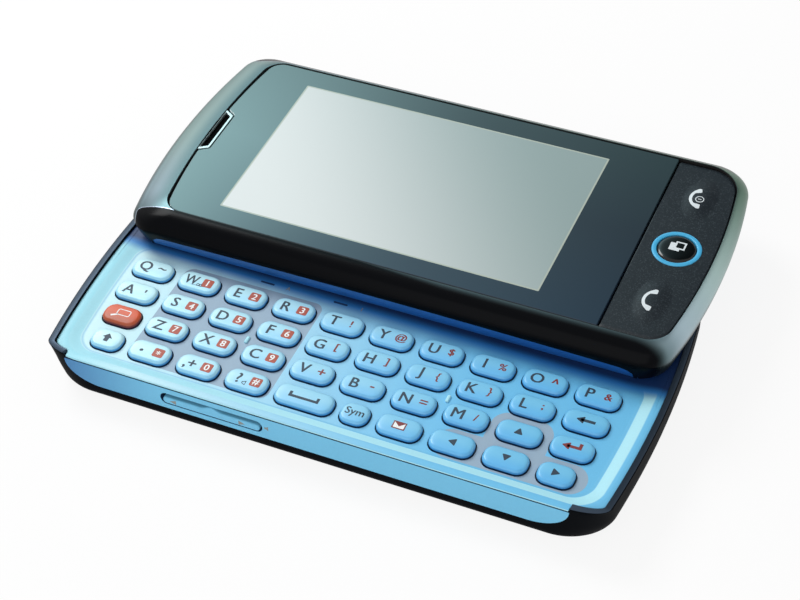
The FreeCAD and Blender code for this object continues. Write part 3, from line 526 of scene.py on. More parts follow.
def in_rectangle(tree: Tree, place: Socket, sides: tuple[float, float, float, float],
                 corner: float = 0.2, blur: float = 0.05) -> Socket:
    """Share, 1 inside and 0 outside, of a rounded rectangle seen in plan.

    What a place stands out beyond the corner centres, |p - c| - (half - corner), is as
    long as the corner radius on the outline.

    Args:
        tree: the node tree.
        place: the place's socket, in metres.
        sides: low and high x, low and high y, in millimetres.
        corner: corner radius in millimetres.
        blur: width of the soft edge in millimetres.

    Returns:
        The share's socket.
    """
    x0, x1, y0, y1 = (side * MM for side in sides)
    middle = ((x0 + x1) / 2, (y0 + y1) / 2, 0.0)
    half = ((x1 - x0) / 2 - corner * MM, (y1 - y0) / 2 - corner * MM, 1.0)
    nothing = (0.0, 0.0, 0.0)
    reach = place
    for operation, other in (("SUBTRACT", middle), ("ABSOLUTE", nothing),
                             ("SUBTRACT", half), ("MAXIMUM", nothing)):
        reach = add_node(tree, "VectorMath", (reach, other), operation=operation)[0]
    beyond = add_node(tree, "VectorMath", (reach,), operation="LENGTH")["Value"]
    return add_node(tree, "MapRange", (beyond, (corner + blur / 2) * MM,
                                       (corner - blur / 2) * MM))[0]


@dataclass(frozen=True)
class Finish:
    """One surface finish: a base colour with its grain, gloss and small unevenness.

    Its methods take the node tree, and the place's socket in metres on Object
    coordinates.
    """

    name: str
    colour: str
    roughness: float = 0.4
    metallic: float = 0.0
    ior: float = 1.5
    specular: float = 0.5
    coat: float = 0.0
    coat_roughness: float = 0.05
    grain_mm: float = 0.25
    grain_depth_mm: float = 0.004
    unevenness: float = 0.08
    patch_mm: float = 6.0

    def tone(self, tree: Tree, place: Socket) -> Socket | Colour:
        """The base colour before its unevenness."""
        return linear(self.colour)

    def dress(self, tree: Tree, shader: Node, place: Socket) -> None:
        """Adds to the shader what only this finish has."""

    def material(self) -> Material:
        """Makes the material, or returns the one made before."""
        known = bpy.data.materials.get(self.name)
        if known:
            return known
        made = bpy.data.materials.new(self.name)
        made.diffuse_color = linear(self.colour)
        tree = blank_tree(made)
        place = add_node(tree, "TexCoord")["Object"]
        patches, grain = (
            add_node(tree, "TexNoise", {"Vector": place, "Scale": 1 / (size * MM),
                                        "Detail": detail})["Fac"]
            for size, detail in ((self.patch_mm, 4.0), (self.grain_mm, 2.0)))
        wear = add_node(tree, "MapRange", (patches, 0.0, 1.0, 1 - self.unevenness,
                                           1 + self.unevenness))[0]
        tone = self.tone(tree, place)
        plain = tone if isinstance(tone, Socket) else tone[:3]
        colour = add_node(tree, "VectorMath", (plain, wear), operation="MULTIPLY")[0]
        rough = add_node(tree, "Math", (wear, self.roughness), operation="MULTIPLY",
                         use_clamp=True)[0]
        bump = add_node(tree, "Bump", {"Height": grain, "Strength": 1.0,
                                       "Distance": self.grain_depth_mm * MM})["Normal"]
        shader = add_node(tree, "BsdfPrincipled", {
            "Base Color": colour, "Roughness": rough, "Normal": bump,
            "Metallic": self.metallic, "IOR": self.ior,
            "Specular IOR Level": self.specular, "Coat Weight": self.coat,
            "Coat Roughness": self.coat_roughness})[0].node
        self.dress(tree, shader, place)
        add_node(tree, "OutputMaterial", (shader.outputs["BSDF"],))
        return made


@dataclass(frozen=True)
class LacquerWithLengthwisePaintedLight(Finish):
    """A lacquer whose colour drifts along the phone's length: painted light and shade laid
    over its own colour, lighter or darker towards the earpiece end.
    """

    far_colour: str = "#7cc4ea"
    span_mm: Pair = (-50.0, 40.0)

    def tone(self, tree: Tree, place: Socket) -> Socket:
        """Goes from the first colour at the earpiece end to the second."""
        low, high = (end * MM for end in self.span_mm)
        return ramp(tree, add_node(tree, "SeparateXYZ", (place,))["X"], low, high,
                    linear(self.colour), linear(self.far_colour))


@dataclass(frozen=True)
class KeycapResin(LacquerWithLengthwisePaintedLight):
    """A pale cap over a blue skirt, partly its own colour and partly painted shade, and a
    near-black foot that paints the shadow in the gap as a dark line round each key.

    The key's attribute "across" goes from -1 at its near edge to 1 at its far edge, and
    the near edge is painted a deeper blue as shade.
    """

    # Painted shade on the sides: the skirt's blue in part, the near-black foot wholly.
    skirt: str = "#4a9ad6"
    foot: str = "#0c2c54"
    painted_near_shade: tuple[float, float, float] = (0.62, 0.84, 1.0)
    painted_shade_span: Pair = (-0.9, 0.35)
    skirt_mm: Pair = (7.9, 8.12)
    shoulder_mm: Pair = (8.3, 8.5)

    def tone(self, tree: Tree, place: Socket) -> Socket:
        """Goes from the skirt's blue to the cap's colour over the shoulder."""
        z = add_node(tree, "SeparateXYZ", (place,))["Z"]
        across = add_node(tree, "Attribute", attribute_name="across")["Fac"]
        face = super().tone(tree, place)
        # Painted shade: the cap's colour deepens towards its near edge.
        deep = add_node(tree, "VectorMath", (face, self.painted_near_shade),
                        operation="MULTIPLY")[0]
        low, high = self.painted_shade_span
        face = ramp(tree, across, low, high, deep, face)
        # Painted shade down the side: the skirt's blue, then the near-black foot for the
        # gap's shadow.
        side = linear(self.foot)
        for (low, high), upper in ((self.skirt_mm, linear(self.skirt)),
                                   (self.shoulder_mm, face)):
            side = ramp(tree, z, low * MM, high * MM, side, upper)
        return side


@dataclass(frozen=True)
class DeckLacquer(LacquerWithLengthwisePaintedLight):
    """The deck's lacquer, with grey zones printed round the numbers and the arrows, and
    painted light and shade: on the tray's slope and left rim, in a line along the slope's
    foot, and as the screen half's shadow under the slide.

    Each zone is its low and high x, low and high y and corner radius, and each band its
    low and high z, in millimetres, and its strength.
    """

    zone: str = "#98b0c4"
    painted_shadow_start: str = "#2f7fc8"
    painted_shadow_deep: str = "#0b2c5c"
    # Painted shade and light on the tray's slope: darker at the left, lighter at the
    # right.
    painted_shade_slope: str = "#9fe0f0"
    painted_light_slope: str = "#bdf3fa"
    # Painted shade: a line along the foot of the tray's slope.
    crease_painted_shade: str = "#6ab8e0"
    floor_mm: Pair = (7.91, 7.87)
    rim_mm: Pair = (8.3, 8.34)
    left_mm: Pair = (-34.0, -45.0)
    slope_mm: Pair = (-45.0, 10.0)
    crease_shade_band: tuple[float, float, float] = (7.84, 7.87, 0.55)
    slope_light_and_shade_band: tuple[float, float, float] = (7.89, 8.34, 0.8)
    # Where the painted shadow under the slide starts and where it is full.
    shadow_start_mm: Pair = (1.0, 3.3)
    shade_mm: Pair = (2.7, 4.5)
    zones: tuple[tuple[float, float, float, float, float], ...] = (
        (-37.6, -10.4, -22.4, 1.5, 1.8), (19.2, 45.7, -22.9, -16.6, 3.1),
        (26.6, 37.4, -20.0, -9.9, 3.1))

    def tone(self, tree: Tree, place: Socket) -> Socket:
        """Prints the zones on the tray's floor, paints shade on the slope at the left and
        on the left rim and light on the slope at the right, paints a shade line along the
        slope's foot, and paints the screen half's shadow in deep blue under the slide."""
        x, _, z = add_node(tree, "SeparateXYZ", (place,))
        floor, rim, left = (add_node(tree, "MapRange", (value, low * MM, high * MM))[0]
                            for value, (low, high) in (
                                (z, self.floor_mm), (z, self.rim_mm), (x, self.left_mm)))
        layers = [(in_rectangle(tree, place, sides, corner), floor, linear(self.zone))
                  for *sides, corner in self.zones]
        first, last = self.slope_mm
        slope = ramp(tree, x, first * MM, last * MM, linear(self.painted_shade_slope),
                     linear(self.painted_light_slope))
        # Lays the painted shade line along the slope's foot, then the slope's painted
        # shade and light.
        for low, high, strength, tone in ((*self.crease_shade_band, linear(self.crease_painted_shade)),
                                          (*self.slope_light_and_shade_band, slope)):
            up = add_node(tree, "MapRange", (z, (low - 0.01) * MM, (low + 0.01) * MM, 0.0,
                                             strength))[0]
            down = add_node(tree, "MapRange", (z, (high + 0.02) * MM,
                                               (high - 0.02) * MM))[0]
            layers.append((up, down, tone))
        # Painted shade on the rim's left end.
        layers.append((left, rim, linear(self.painted_shade_slope)))
        colour = overlay(tree, super().tone(tree, place), *(
            (add_node(tree, "Math", (first, second), operation="MULTIPLY")[0], tone)
            for first, second, tone in layers))
        # Painted shadow of the screen half: deep blue from the slide's edge backwards,
        # starting a little further forward on the right.
        back = add_node(tree, "VectorMath", (place, (0.01, 1.0, 0.0)),
                        operation="DOT_PRODUCT")["Value"]
        for (low, high), tone in ((self.shadow_start_mm, self.painted_shadow_start),
                                  (self.shade_mm, self.painted_shadow_deep)):
            colour = ramp(tree, back, low * MM, high * MM, colour, linear(tone))
        return colour


@dataclass(frozen=True)
class ShellLacquer(Finish):
    """Satin gunmetal on the ends, gloss black on the flanks, with a painted highlight line
    between.

    The shell's attribute "cap" is the distance to that line in millimetres, positive on
    the ends. The switch is sharp at the left end and spreads over 1.5 mm each side of the
    line at the right end.
    """

    flank: str = "#020306"
    flank_roughness: float = 0.24
    # The line is a painted highlight where the left end meets the flank.
    line: str = "#8f9aa8"
    painted_highlight_half_mm: float = 0.06
    right_blend_mm: float = 1.5
    # Painted light on the ends: a highlight towards the near side, a greenish reflection
    # towards the far side, shade low on the side, shade along the near edge and by the
    # window in the shoulder colour, and a brighter right end than left.
    painted_highlight_towards_near: str = "#a2b6c0"
    painted_reflection_towards_far: str = "#54705f"
    painted_shade_low_on_side: str = "#27322f"
    shoulder: str = "#51676a"
    left_end_painted_light: float = 0.53
    right_end_painted_light: float = 0.95
    middle_mm: Pair = (-10.0, 10.0)
    tip_mm: Pair = (3.0, 12.5)
    body_mm: Pair = (8.0, 30.0)
    far_mm: Pair = (34.0, 65.0)
    side_mm: Pair = (11.8, 14.2)
    shoulder_mm: Pair = (15.6, 16.7)

    def tone(self, tree: Tree, place: Socket) -> Socket:
        """Paints light on the ends: shade along the near edge and high by the window in
        the shoulder colour, a bluish highlight towards the near side, a greenish
        reflection towards the far side, shade low on the side and a brighter right end, so
        the band is brightest half way up the side.
        """
        x, y, _ = add_node(tree, "SeparateXYZ", (place,))
        slant, low, high = (add_node(tree, "VectorMath", (place, lean),
                                     operation="DOT_PRODUCT")["Value"]
                            for lean in ((0.25, 1.0, 0.0), (0.012, 0.0, 1.0),
                                         (-0.016, 0.0, 1.0)))
        left, right = (end * MM for end in self.middle_mm)
        level = add_node(tree, "MapRange", (x, left, right, self.left_end_painted_light,
                                            self.right_end_painted_light))[0]
        colour = linear(self.shoulder)
        for value, (start, end), tone in ((y, self.tip_mm, self.painted_highlight_towards_near),
                                          (y, self.body_mm, self.colour),
                                          (slant, self.far_mm, self.painted_reflection_towards_far)):
            colour = ramp(tree, value, start * MM, end * MM, colour, linear(tone))
        colour = add_node(tree, "VectorMath", {0: colour, "Scale": level},
                          operation="SCALE")[0]
        start, end = (height * MM for height in self.side_mm)
        side = ramp(tree, low, start, end, linear(self.painted_shade_low_on_side), colour)
        start, end = (height * MM for height in self.shoulder_mm)
        return ramp(tree, high, start, end, side, linear(self.shoulder))

    def dress(self, tree: Tree, shader: Node, place: Socket) -> None:
        """Switches colour, metal, gloss and roughness over at the line, and paints the
        bright highlight line on the left end.
        """
        cap = add_node(tree, "Attribute", attribute_name="cap")["Fac"]
        x = add_node(tree, "SeparateXYZ", (place,))["X"]
        left, right = (end * MM for end in self.middle_mm)
        low, high = (add_node(tree, "MapRange", (x, left, right, sign * 0.03,
                                                 sign * self.right_blend_mm))[0]
                     for sign in (-1, 1))
        on_end = add_node(tree, "MapRange", (cap, low, high),
                          interpolation_type="SMOOTHSTEP")[0]
        on_left = add_node(tree, "MapRange", (x, 0.0, left))[0]
        aside = add_node(tree, "Math", (cap,), operation="ABSOLUTE")[0]
        near = add_node(tree, "MapRange", (aside, self.painted_highlight_half_mm + 0.04,
                                           self.painted_highlight_half_mm))[0]
        on_painted_highlight = add_node(tree, "Math", (near, on_left), operation="MULTIPLY")[0]
        colour = shader.inputs["Base Color"].links[0].from_socket
        lined = overlay(tree, linear(self.flank), (on_end, colour),
                        (on_painted_highlight, linear(self.line)))
        metal = add_node(tree, "Math", (on_end, on_painted_highlight), operation="MAXIMUM")[0]
        rough = add_node(tree, "MapRange", (on_end, 0.0, 1.0, self.flank_roughness,
                                            self.roughness))[0]
        for name, socket in (("Base Color", lined), ("Metallic", metal),
                             ("Roughness", rough)):
            tree.links.new(socket, shader.inputs[name])


@dataclass(frozen=True)
class BoardMask(Finish):
    """Green solder mask on the board, and tinned steel on the parts beyond its faces."""

    parts: str = "#b4b8bc"
    faces_mm: Pair = (4.6, 5.4)

    def dress(self, tree: Tree, shader: Node, place: Socket) -> None:
        """Switches the colour and the metal over at the board's two faces."""
        z = add_node(tree, "SeparateXYZ", (place,))["Z"]
        below, above = (add_node(tree, "MapRange", (z, (face - 0.03 * side) * MM,
                                                    (face + 0.03 * side) * MM))[0]
                        for face, side in zip(self.faces_mm, (-1, 1)))
        metal = add_node(tree, "Math", (below, above), operation="MAXIMUM")[0]
        tree.links.new(overlay(tree, linear(self.colour), (metal, linear(self.parts))),
                       shader.inputs["Base Color"])
        tree.links.new(metal, shader.inputs["Metallic"])


@dataclass(frozen=True)
class WindowGlass(Finish):
    """Clear cover glass over a dark printed mask and a switched-off reflective display.
    Painted reflection lightens the mask towards the left and tints its near and far bands,
    painted light grades the display, and a painted highlight runs round the display's
    bevel.

    The screen is its low and high x and low and high y, in millimetres, before the
    offset that slides it open.
    """

    screen: tuple[float, float, float, float] = (-35.1, 25.9, -18.5, 18.1)
    offset_y: float = 0.0
    mask_end: str = "#232e39"
    near_band_painted_reflection: str = "#1f3348"
    far_band_painted_reflection: str = "#344a48"
    display_painted_light_near: str = "#dfe4e3"
    display_painted_light_far: str = "#94a7a6"
    bevel_painted_highlight: str = "#b3bdb1"
    bevel_mm: float = 0.3
    display_mm: Pair = (-20.0, 55.0)
    mask_mm: Pair = (-52.0, 6.0)
    near_x_mm: Pair = (-45.0, -15.0)
    near_share: Pair = (0.02, 0.6)
    middle_y_mm: float = 30.0
    near_y_mm: float = 7.0
    far_y_mm: float = 55.0
    far_share: float = 0.5

    def dress(self, tree: Tree, shader: Node, place: Socket) -> None:
        """Draws the display's rectangle on the mask, with the painted highlight along its
        bevel and the painted reflections and light over mask and display.
        """
        x, y, _ = add_node(tree, "SeparateXYZ", (place,))
        x0, x1, y0, y1 = self.screen
        y0, y1, bevel = y0 + self.offset_y, y1 + self.offset_y, self.bevel_mm
        slant = add_node(tree, "VectorMath", (place, (1.0, 0.8, 0.0)),
                         operation="DOT_PRODUCT")["Value"]
        display, mask = (
            ramp(tree, value, low * MM, high * MM, linear(start), linear(end))
            for value, (low, high), start, end in (
                (slant, self.display_mm, self.display_painted_light_near, self.display_painted_light_far),
                (x, self.mask_mm, self.colour, self.mask_end)))
        low, high = (end * MM for end in self.near_x_mm)
        reach = add_node(tree, "MapRange", (x, low, high, *self.near_share))[0]
        near, far = (add_node(tree, "MapRange", (y, self.middle_y_mm * MM, end * MM, 0.0,
                                                 most))[0]
                     for end, most in ((self.near_y_mm, reach),
                                       (self.far_y_mm, self.far_share)))
        frame_share = in_rectangle(tree, place, (x0, x1, y0, y1))
        lit = in_rectangle(tree, place, (x0 + bevel, x1 - bevel, y0 + bevel, y1 - bevel))
        printed = overlay(tree, mask, (near, linear(self.near_band_painted_reflection)),
                          (far, linear(self.far_band_painted_reflection)),
                          (frame_share, linear(self.bevel_painted_highlight)), (lit, display))
        tree.links.new(printed, shader.inputs["Base Color"])


@dataclass(frozen=True)
class SparkleLacquer(Finish):
    """Dark lacquer with metal flakes that catch the light one by one."""

    flake: str = "#566066"
    flake_mm: float = 0.16

    def dress(self, tree: Tree, shader: Node, place: Socket) -> None:
        """Scatters flakes of several brightnesses, drawn coarser than real to show."""
        cells = add_node(tree, "TexVoronoi", {"Vector": place,
                                              "Scale": 1 / (self.flake_mm * MM)})
        pick = add_node(tree, "SeparateColor", (cells["Color"],))[0]
        chosen = add_node(tree, "MapRange", (pick, 0.75, 1.6))[0]
        base = shader.inputs["Base Color"].links[0].from_socket
        tree.links.new(overlay(tree, base, (chosen, linear(self.flake))),
                       shader.inputs["Base Color"])


@dataclass(frozen=True)
class DrilledPlate(Finish):
    """Thin sheet whose fine grid of drilled holes is drawn as dark spots, painted shade in
    place of real holes.
    """

    hole: str = "#020202"
    hole_mm: float = 0.34

    def dress(self, tree: Tree, shader: Node, place: Socket) -> None:
        """Darkens round spots on a regular grid: the holes' painted shade."""
        spots = add_node(tree, "TexVoronoi", {"Vector": place, "Randomness": 0.0,
                                              "Scale": 1 / (self.hole_mm * MM)},
                         voronoi_dimensions="3D")["Distance"]
        base = shader.inputs["Base Color"].links[0].from_socket
        tree.links.new(ramp(tree, spots, 0.28, 0.4, linear(self.hole), base),
                       shader.inputs["Base Color"])


# Black polycarbonate, moulded in a finely spark-eroded tool: dark, dull, faintly grained.
HOUSING = Finish("moulded_black_polycarbonate", "#030509", roughness=0.6, specular=0.03,
                 grain_mm=0.12, grain_depth_mm=0.002)
# Its lips: the top faces are the same black plastic; a lighter slate metallic copy of it
# paints the light they catch.
LIT_LIP_TOP = Finish("lit_metallic_copy_of_lip_plastic", "#323e4c", roughness=0.42, metallic=0.8,
             grain_mm=0.08, grain_depth_mm=0.0008, unevenness=0.03)
# The same plastic with a soft-touch lacquer: no gloss, a dry deep black.
COVER = Finish("soft_touch_black_lacquer", "#15161a", roughness=0.62, grain_mm=0.09,
               grain_depth_mm=0.004)
# Deck: ABS sprayed with a pale pearl lacquer and a gloss clear coat; whiter towards the
# earpiece end as painted highlight.
DECK = DeckLacquer("pearl_blue_sprayed_abs", "#cef2f8", roughness=0.5, specular=0.4,
                   grain_mm=0.08, grain_depth_mm=0.0015, unevenness=0.05, patch_mm=0.3,
                   far_colour="#6cc2ee", span_mm=(-58.0, 30.0))
# Painted shade: the deck's blue darkened on the walls of the key holes, the rocker's hole
# and under the deck's outer edge, where shade falls; also the colour of the two indicator
# windows.
GAP_SHADE_AND_WINDOWS = Finish("painted_gap_shade_and_window_blue", "#0f3157", roughness=0.6)
# Front wall and rocker: a deeper pearl blue, sprayed in the same way, painted darker at
# the earpiece end as shade.
FRONT_WALL = LacquerWithLengthwisePaintedLight("pearl_blue_sprayed_front_wall", "#3478b4", roughness=0.42,
                           specular=0.4, grain_mm=0.08, grain_depth_mm=0.0012,
                           unevenness=0.04, patch_mm=0.4, far_colour="#74c6ec",
                           span_mm=(-52.0, -26.0))
# Keys: clear-over-colour polycarbonate caps, softly glossy with a milky look; paler
# towards the earpiece end as painted highlight, with painted shade on the near edge and
# down the sides.
KEYCAP = KeycapResin("milky_blue_polycarbonate_keycap", "#c6f0f7", roughness=0.36,
                       coat=0.15, coat_roughness=0.2, grain_depth_mm=0.0006,
                       unevenness=0.02, far_colour="#74c6ef", span_mm=(-56.0, 34.0))
# The function key: the same resin in orange, with the same painted shade on its near edge
# and sides.
ORANGE_KEY = KeycapResin("orange_polycarbonate_keycap", "#d65a34", roughness=0.4,
                         specular=0.35, grain_depth_mm=0.0006, unevenness=0.03,
                         far_colour="#d65a34", skirt="#7c3430", foot="#2a2a44")
# Legends: screen-printed inks, flat and a little rough.
DARK_INK = Finish("dark_slate_printed_ink", "#172c40", roughness=0.55, unevenness=0.05)
RED_INK = Finish("dark_red_printed_ink", "#7c2220", roughness=0.55, unevenness=0.05)
GREY_INK = Finish("warm_grey_printed_ink", "#8b8d88", roughness=0.55, unevenness=0.05)
RED_SQUARE = Finish("brick_red_printed_patch", "#a8452f", roughness=0.5, unevenness=0.04)
WHITE_INK = Finish("white_printed_ink", "#f4f8f8", roughness=0.5, unevenness=0.02)
# Screen half: magnesium-look lacquer over moulded plastic; the ends' colour carries
# painted highlights, reflections and shade.
SHELL = ShellLacquer("gunmetal_and_black_lacquer", "#a6bebb", roughness=0.4, metallic=1.0,
                     specular=0.05, grain_mm=0.06, grain_depth_mm=0.0006, unevenness=0.03)
# The seam round the window, and the plain plastic behind it.
SHELL_RIM = Finish("black_window_seam", "#0c1113", roughness=0.5, specular=0.2)
# The earpiece's lip: blasted aluminium.
RIM = Finish("satin_aluminium_lip", "#a3b0b1", roughness=0.4, metallic=1.0,
             grain_depth_mm=0.0003, unevenness=0.03)
INSIDE = Finish("moulded_black_inside", "#050506", roughness=0.6)
# Back panel: fine metal in blue lacquer under a clear coat.
BLUE_PANEL = Finish("blue_metallic_lacquer", "#1f62aa", roughness=0.3, metallic=0.35,
                    coat=0.5, coat_roughness=0.1, grain_mm=0.08, grain_depth_mm=0.001,
                    unevenness=0.04)
# Window: polished glass, printed from behind; its pale teal at the earpiece end is painted
# reflection.
GLASS = WindowGlass("cover_glass_over_mask_and_display", "#749597", roughness=0.06,
                    grain_depth_mm=0.0, unevenness=0.0)
# Call keys: dark lacquer with coarse flakes. Ring: dyed aluminium. Menu key: polished.
CALL_PLATE = SparkleLacquer("flaked_dark_lacquer_keys", "#11171e", roughness=0.42,
                            specular=0.3, grain_mm=0.2, grain_depth_mm=0.002)
RING = Finish("sky_blue_anodised_ring", "#48b2e2", roughness=0.3, specular=0.4,
              grain_depth_mm=0.0003)
MENU = Finish("piano_black_menu_key", "#060709", roughness=0.14, specular=0.35,
              grain_depth_mm=0.0)
# Pale ink of the icons, and the earpiece's drilled sheet.
ICON = Finish("pale_printed_icon", "#dfe8ec", roughness=0.45)
EARPIECE_MESH = DrilledPlate("drilled_black_earpiece_mesh", "#060708", roughness=0.8,
                             specular=0.02)
# Mechanism: stamped and drawn steel, black screws and the amber ribbon.
SLIDE_STEEL = Finish("pressed_stainless_steel", "#b4b8bb", roughness=0.32, metallic=1.0,
                     grain_mm=0.4, grain_depth_mm=0.001, patch_mm=3.0)
SPRING_WIRE = Finish("drawn_spring_wire", "#9a9ca0", roughness=0.28, metallic=1.0)
SCREW_STEEL = Finish("black_zinc_plated_screws", "#5b5e63", roughness=0.35, metallic=1.0)
FLEX = Finish("polyimide_flex_film", "#b5701f", roughness=0.35, coat=0.3)
# Board, battery, keypad mat, camera and display, each in its maker's usual finish.
BOARD = BoardMask("green_solder_mask_and_tinned_parts", "#1d5a3c", roughness=0.4,
                  coat=0.3, grain_mm=0.5)
BATTERY = Finish("shrink_wrapped_battery", "#34465e", roughness=0.45)
SILICONE = Finish("translucent_silicone_mat", "#c9d3d8", roughness=0.6)
CAMERA = Finish("black_anodised_camera_barrel", "#0b0c0e", roughness=0.25, metallic=0.6,
                coat=0.5)
DISPLAY = Finish("display_glass_and_frame", "#30363a", roughness=0.25)
CAD_FINISHES = {
    "keypad_mat": SILICONE, "main_board": BOARD, "battery_pack": BATTERY,
    "camera_module": CAMERA, "base_screws": SCREW_STEEL, "slide_rail": SLIDE_STEEL,
    "slide_springs": SPRING_WIRE, "flex_cable": FLEX, "slide_carriage": SLIDE_STEEL,
    "display_module": DISPLAY,
}


# ---- screen half ---------------------------------------------------------------------
@dataclass
class ScreenShell:
    """Frame round the screen: sloping ends, bull-nosed flanks and the window's rim."""

    phone: Phone
    foot_inset: float = 1.05
    widest_rise: float = 3.6
    rim_inset: float = 3.9
    left_band: float = 6.6
    left_shoulder: float = 1.7
    left_drop: float = 1.7
    right_band: float = 1.9
    lens_inset: float = 6.9
    lens_rise: float = 2.5
    lens_crown: float = 0.6
    lens_end: float = 3.5
    lens_depth: float = 1.0
    rim_width: float = 0.22
    corner: float = 4.6
    rim_corner: float = 3.5
    far_right_extra: float = 2.2
    flank_left: float = -49.75
    flank_right: float = 50.4
    flank_line: float = 22.62
    far_line_rise: float = 0.7
    flank_flare: float = 0.28
    flare_from: float = 23.6
    hook_rise: float = 1.5
    hook_span: Pair = (44.5, 50.5)
    flank_corner: float = 1.0
    inner_inset: float = 1.6
    inner_shrink: float = 1.2
    inner_low: float = 10.0
    inner_rise: float = 0.05
    lens_clear: float = 0.1
    ledge_width: float = 2.2
    ledge_drop: float = 2.0
    ledge_corner: float = 1.5
    inner_foot: float = 10.95
    foot_bulge: float = -0.12
    near_bulge: float = -0.9
    far_bulge: float = -0.12
    left_bulges: Pair = (-0.3, -0.12)
    right_bulge: float = -0.6
    foot_rows: int = 7
    flank_rows: int = 19

    def lens_top(self, x: Array, grow: float = 0.0) -> Array:
        """Height of the strip's upper edge: quarter ellipses at both ends, a low arch
        between, and the underside beyond them."""
        half = self.phone.half_length - self.lens_inset + grow
        share = np.clip((half - np.abs(x)) / self.lens_end, 0, 1)
        shoulder = (self.lens_rise + grow) * np.sqrt(1 - (1 - share) ** 2)
        arch = self.lens_crown * np.clip(1 - (x / (half - self.lens_end)) ** 2, 0, 1)
        return self.phone.upper_under + shoulder + arch

    def foot_profile(self, count: int) -> Array:
        """Inset and height from the underside's edge out to the widest line."""
        under = self.phone.upper_under
        return arc((self.foot_inset, under), (0, under + self.widest_rise),
                   self.foot_bulge, count)

    def side_profiles(self) -> dict[str, Array]:
        """Inset and height from the widest line up to the rim, for each kind of side."""
        widest, top = self.phone.upper_under + self.widest_rise, self.phone.top
        knee = (self.left_shoulder, top - self.left_drop)
        first = self.flank_rows // 3
        left = np.concatenate([
            arc((0, widest), knee, self.left_bulges[0], first + 1)[:-1],
            arc(knee, (self.left_band, top), self.left_bulges[1],
                self.flank_rows - first)])
        whole = {name: arc((0, widest), (inset, top), bulge, self.flank_rows)
                 for name, inset, bulge in (("near", self.rim_inset, self.near_bulge),
                                            ("far", self.rim_inset, self.far_bulge),
                                            ("right", self.right_band, self.right_bulge))}
        return whole | {"left": left}

    def columns(self) -> Perimeter:
        """Outline with columns close together where the strip's ends curve."""
        half = self.phone.half_length - self.corner
        end = self.phone.half_length - self.lens_inset
        turn = end + 0.01 - self.lens_end * (1 - np.cos(np.linspace(0, math.pi / 2, 13)))
        middle = np.linspace(-turn[-1], turn[-1], 25)[1:-1]
        x = np.concatenate([[-half, -half + 1.2], -turn, middle, turn[::-1],
                            [half - 1.2, half]])
        return Perimeter.make((x + half) / (2 * half), 20, 14)

    def cap_distance(self, x: Array, y: Array) -> Array:
        """Distance in plan to the line between the metallic ends and the black flanks.

        Each flank's colour is a rounded corner region: outside the flank line and
        between two cross lines near the ends, the left of which flares out. The line
        hooks outwards at the right end.
        """
        radius = self.flank_corner
        aside = np.abs(y)
        flare = self.flank_flare * np.clip(aside - self.flare_from, 0, None)
        along = np.maximum(self.flank_left + flare - x, x - self.flank_right) + radius
        first, last = self.hook_span
        hook = self.hook_rise * np.clip((x - first) / (last - first), 0, 1) ** 1.4
        over = self.flank_line + hook + np.where(y > 0, self.far_line_rise, 0.0) \
            - aside + radius
        return (np.minimum(np.maximum(along, over), 0)
                + np.hypot(np.maximum(along, 0), np.maximum(over, 0)) - radius)

    def build(self) -> Object:
        """Lofts the closed ring from its cross-section.

        Every row of the ring is the outline drawn at the row's insets; at the rounded
        corners the profiles of the two sides are mixed by the squares of the outline's
        direction, which add up to one.

        Returns:
            The finished piece.
        """
        phone, outline = self.phone, self.columns()
        along = outline.ny ** 2
        far = outline.ny > 0
        at_left = np.where(outline.nx < 0, outline.nx ** 2, 0)
        at_right = np.where(outline.nx > 0, outline.nx ** 2, 0)
        foot = self.foot_profile(40)
        sides = self.side_profiles()
        half_x, half_y = phone.half_length, phone.half_width
        rounder = self.far_right_extra * outline.u * outline.v

        def row(inset_long: Array, inset_left: Array, inset_right: Array, z: Array,
                corner: float) -> Array:
            """One row of points at these insets and heights."""
            flat = outline.draw(-half_x + inset_left, half_x - inset_right,
                                -half_y + inset_long, half_y - inset_long,
                                corner + rounder)
            return phone.bowed(flat, z)

        plain = row(0, 0, 0, 0, self.corner)
        under, clear, inset = phone.upper_under, self.lens_clear, self.inner_inset
        low = np.where(along > 0.999, self.lens_top(plain[:, 0], clear), under)
        widest = under + self.widest_rise
        lens = np.where(low > under + clear + 0.01,
                        self.foot_inset + self.lens_depth + clear, inset)
        rows = [row(lens, inset, inset, z, self.corner - self.inner_shrink)
                for z in (np.maximum(low, self.inner_low) + self.inner_rise, low)]
        codes = [2, 2]
        for share in np.linspace(0, 1, self.foot_rows):
            z = low + (widest - low) * share
            inset = np.interp(z, foot[:, 1], foot[:, 0])
            rows.append(row(inset, inset, inset, z, self.corner))
            codes.append(0)
        for step in range(1, self.flank_rows):
            insets = {name: side[step, 0] for name, side in sides.items()}
            long = np.where(far, insets["far"], insets["near"])
            z = along * np.where(far, sides["far"][step, 1], sides["near"][step, 1]) \
                + at_left * sides["left"][step, 1] + at_right * sides["right"][step, 1]
            share = step / (self.flank_rows - 1)
            rows.append(row(long, insets["left"], insets["right"], z,
                            self.corner + (self.rim_corner - self.corner) * share))
            codes.append(0)
        rim = self.rim_width
        inner = self.rim_corner - rim
        ledge, deep = rim + self.ledge_width, phone.top - self.ledge_drop
        for extra, z, corner, code in (
                (0.06, phone.top, self.rim_corner, 1), (rim, phone.top - 0.02, inner, 2),
                (rim, deep, inner, 2), (ledge, deep, self.ledge_corner, 2),
                (ledge, self.inner_foot, self.ledge_corner, 2)):
            rows.append(row(self.rim_inset + extra, self.left_band + extra * 0.6,
                            self.right_band + extra * 0.6, z, corner))
            codes.append(code)
        grid = np.stack(rows)
        cap = self.cap_distance(grid[..., 0], grid[..., 1])
        grid[..., 1] += phone.open_by
        mesh = loft("screen_shell", grid, codes, wrap_rows=True, weld_mm=0.001, cap=cap)
        piece = to_object("screen_shell", mesh, [SHELL, SHELL_RIM, INSIDE], SCREEN_HALF,
                          28)
        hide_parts("screen_frame")
        return piece


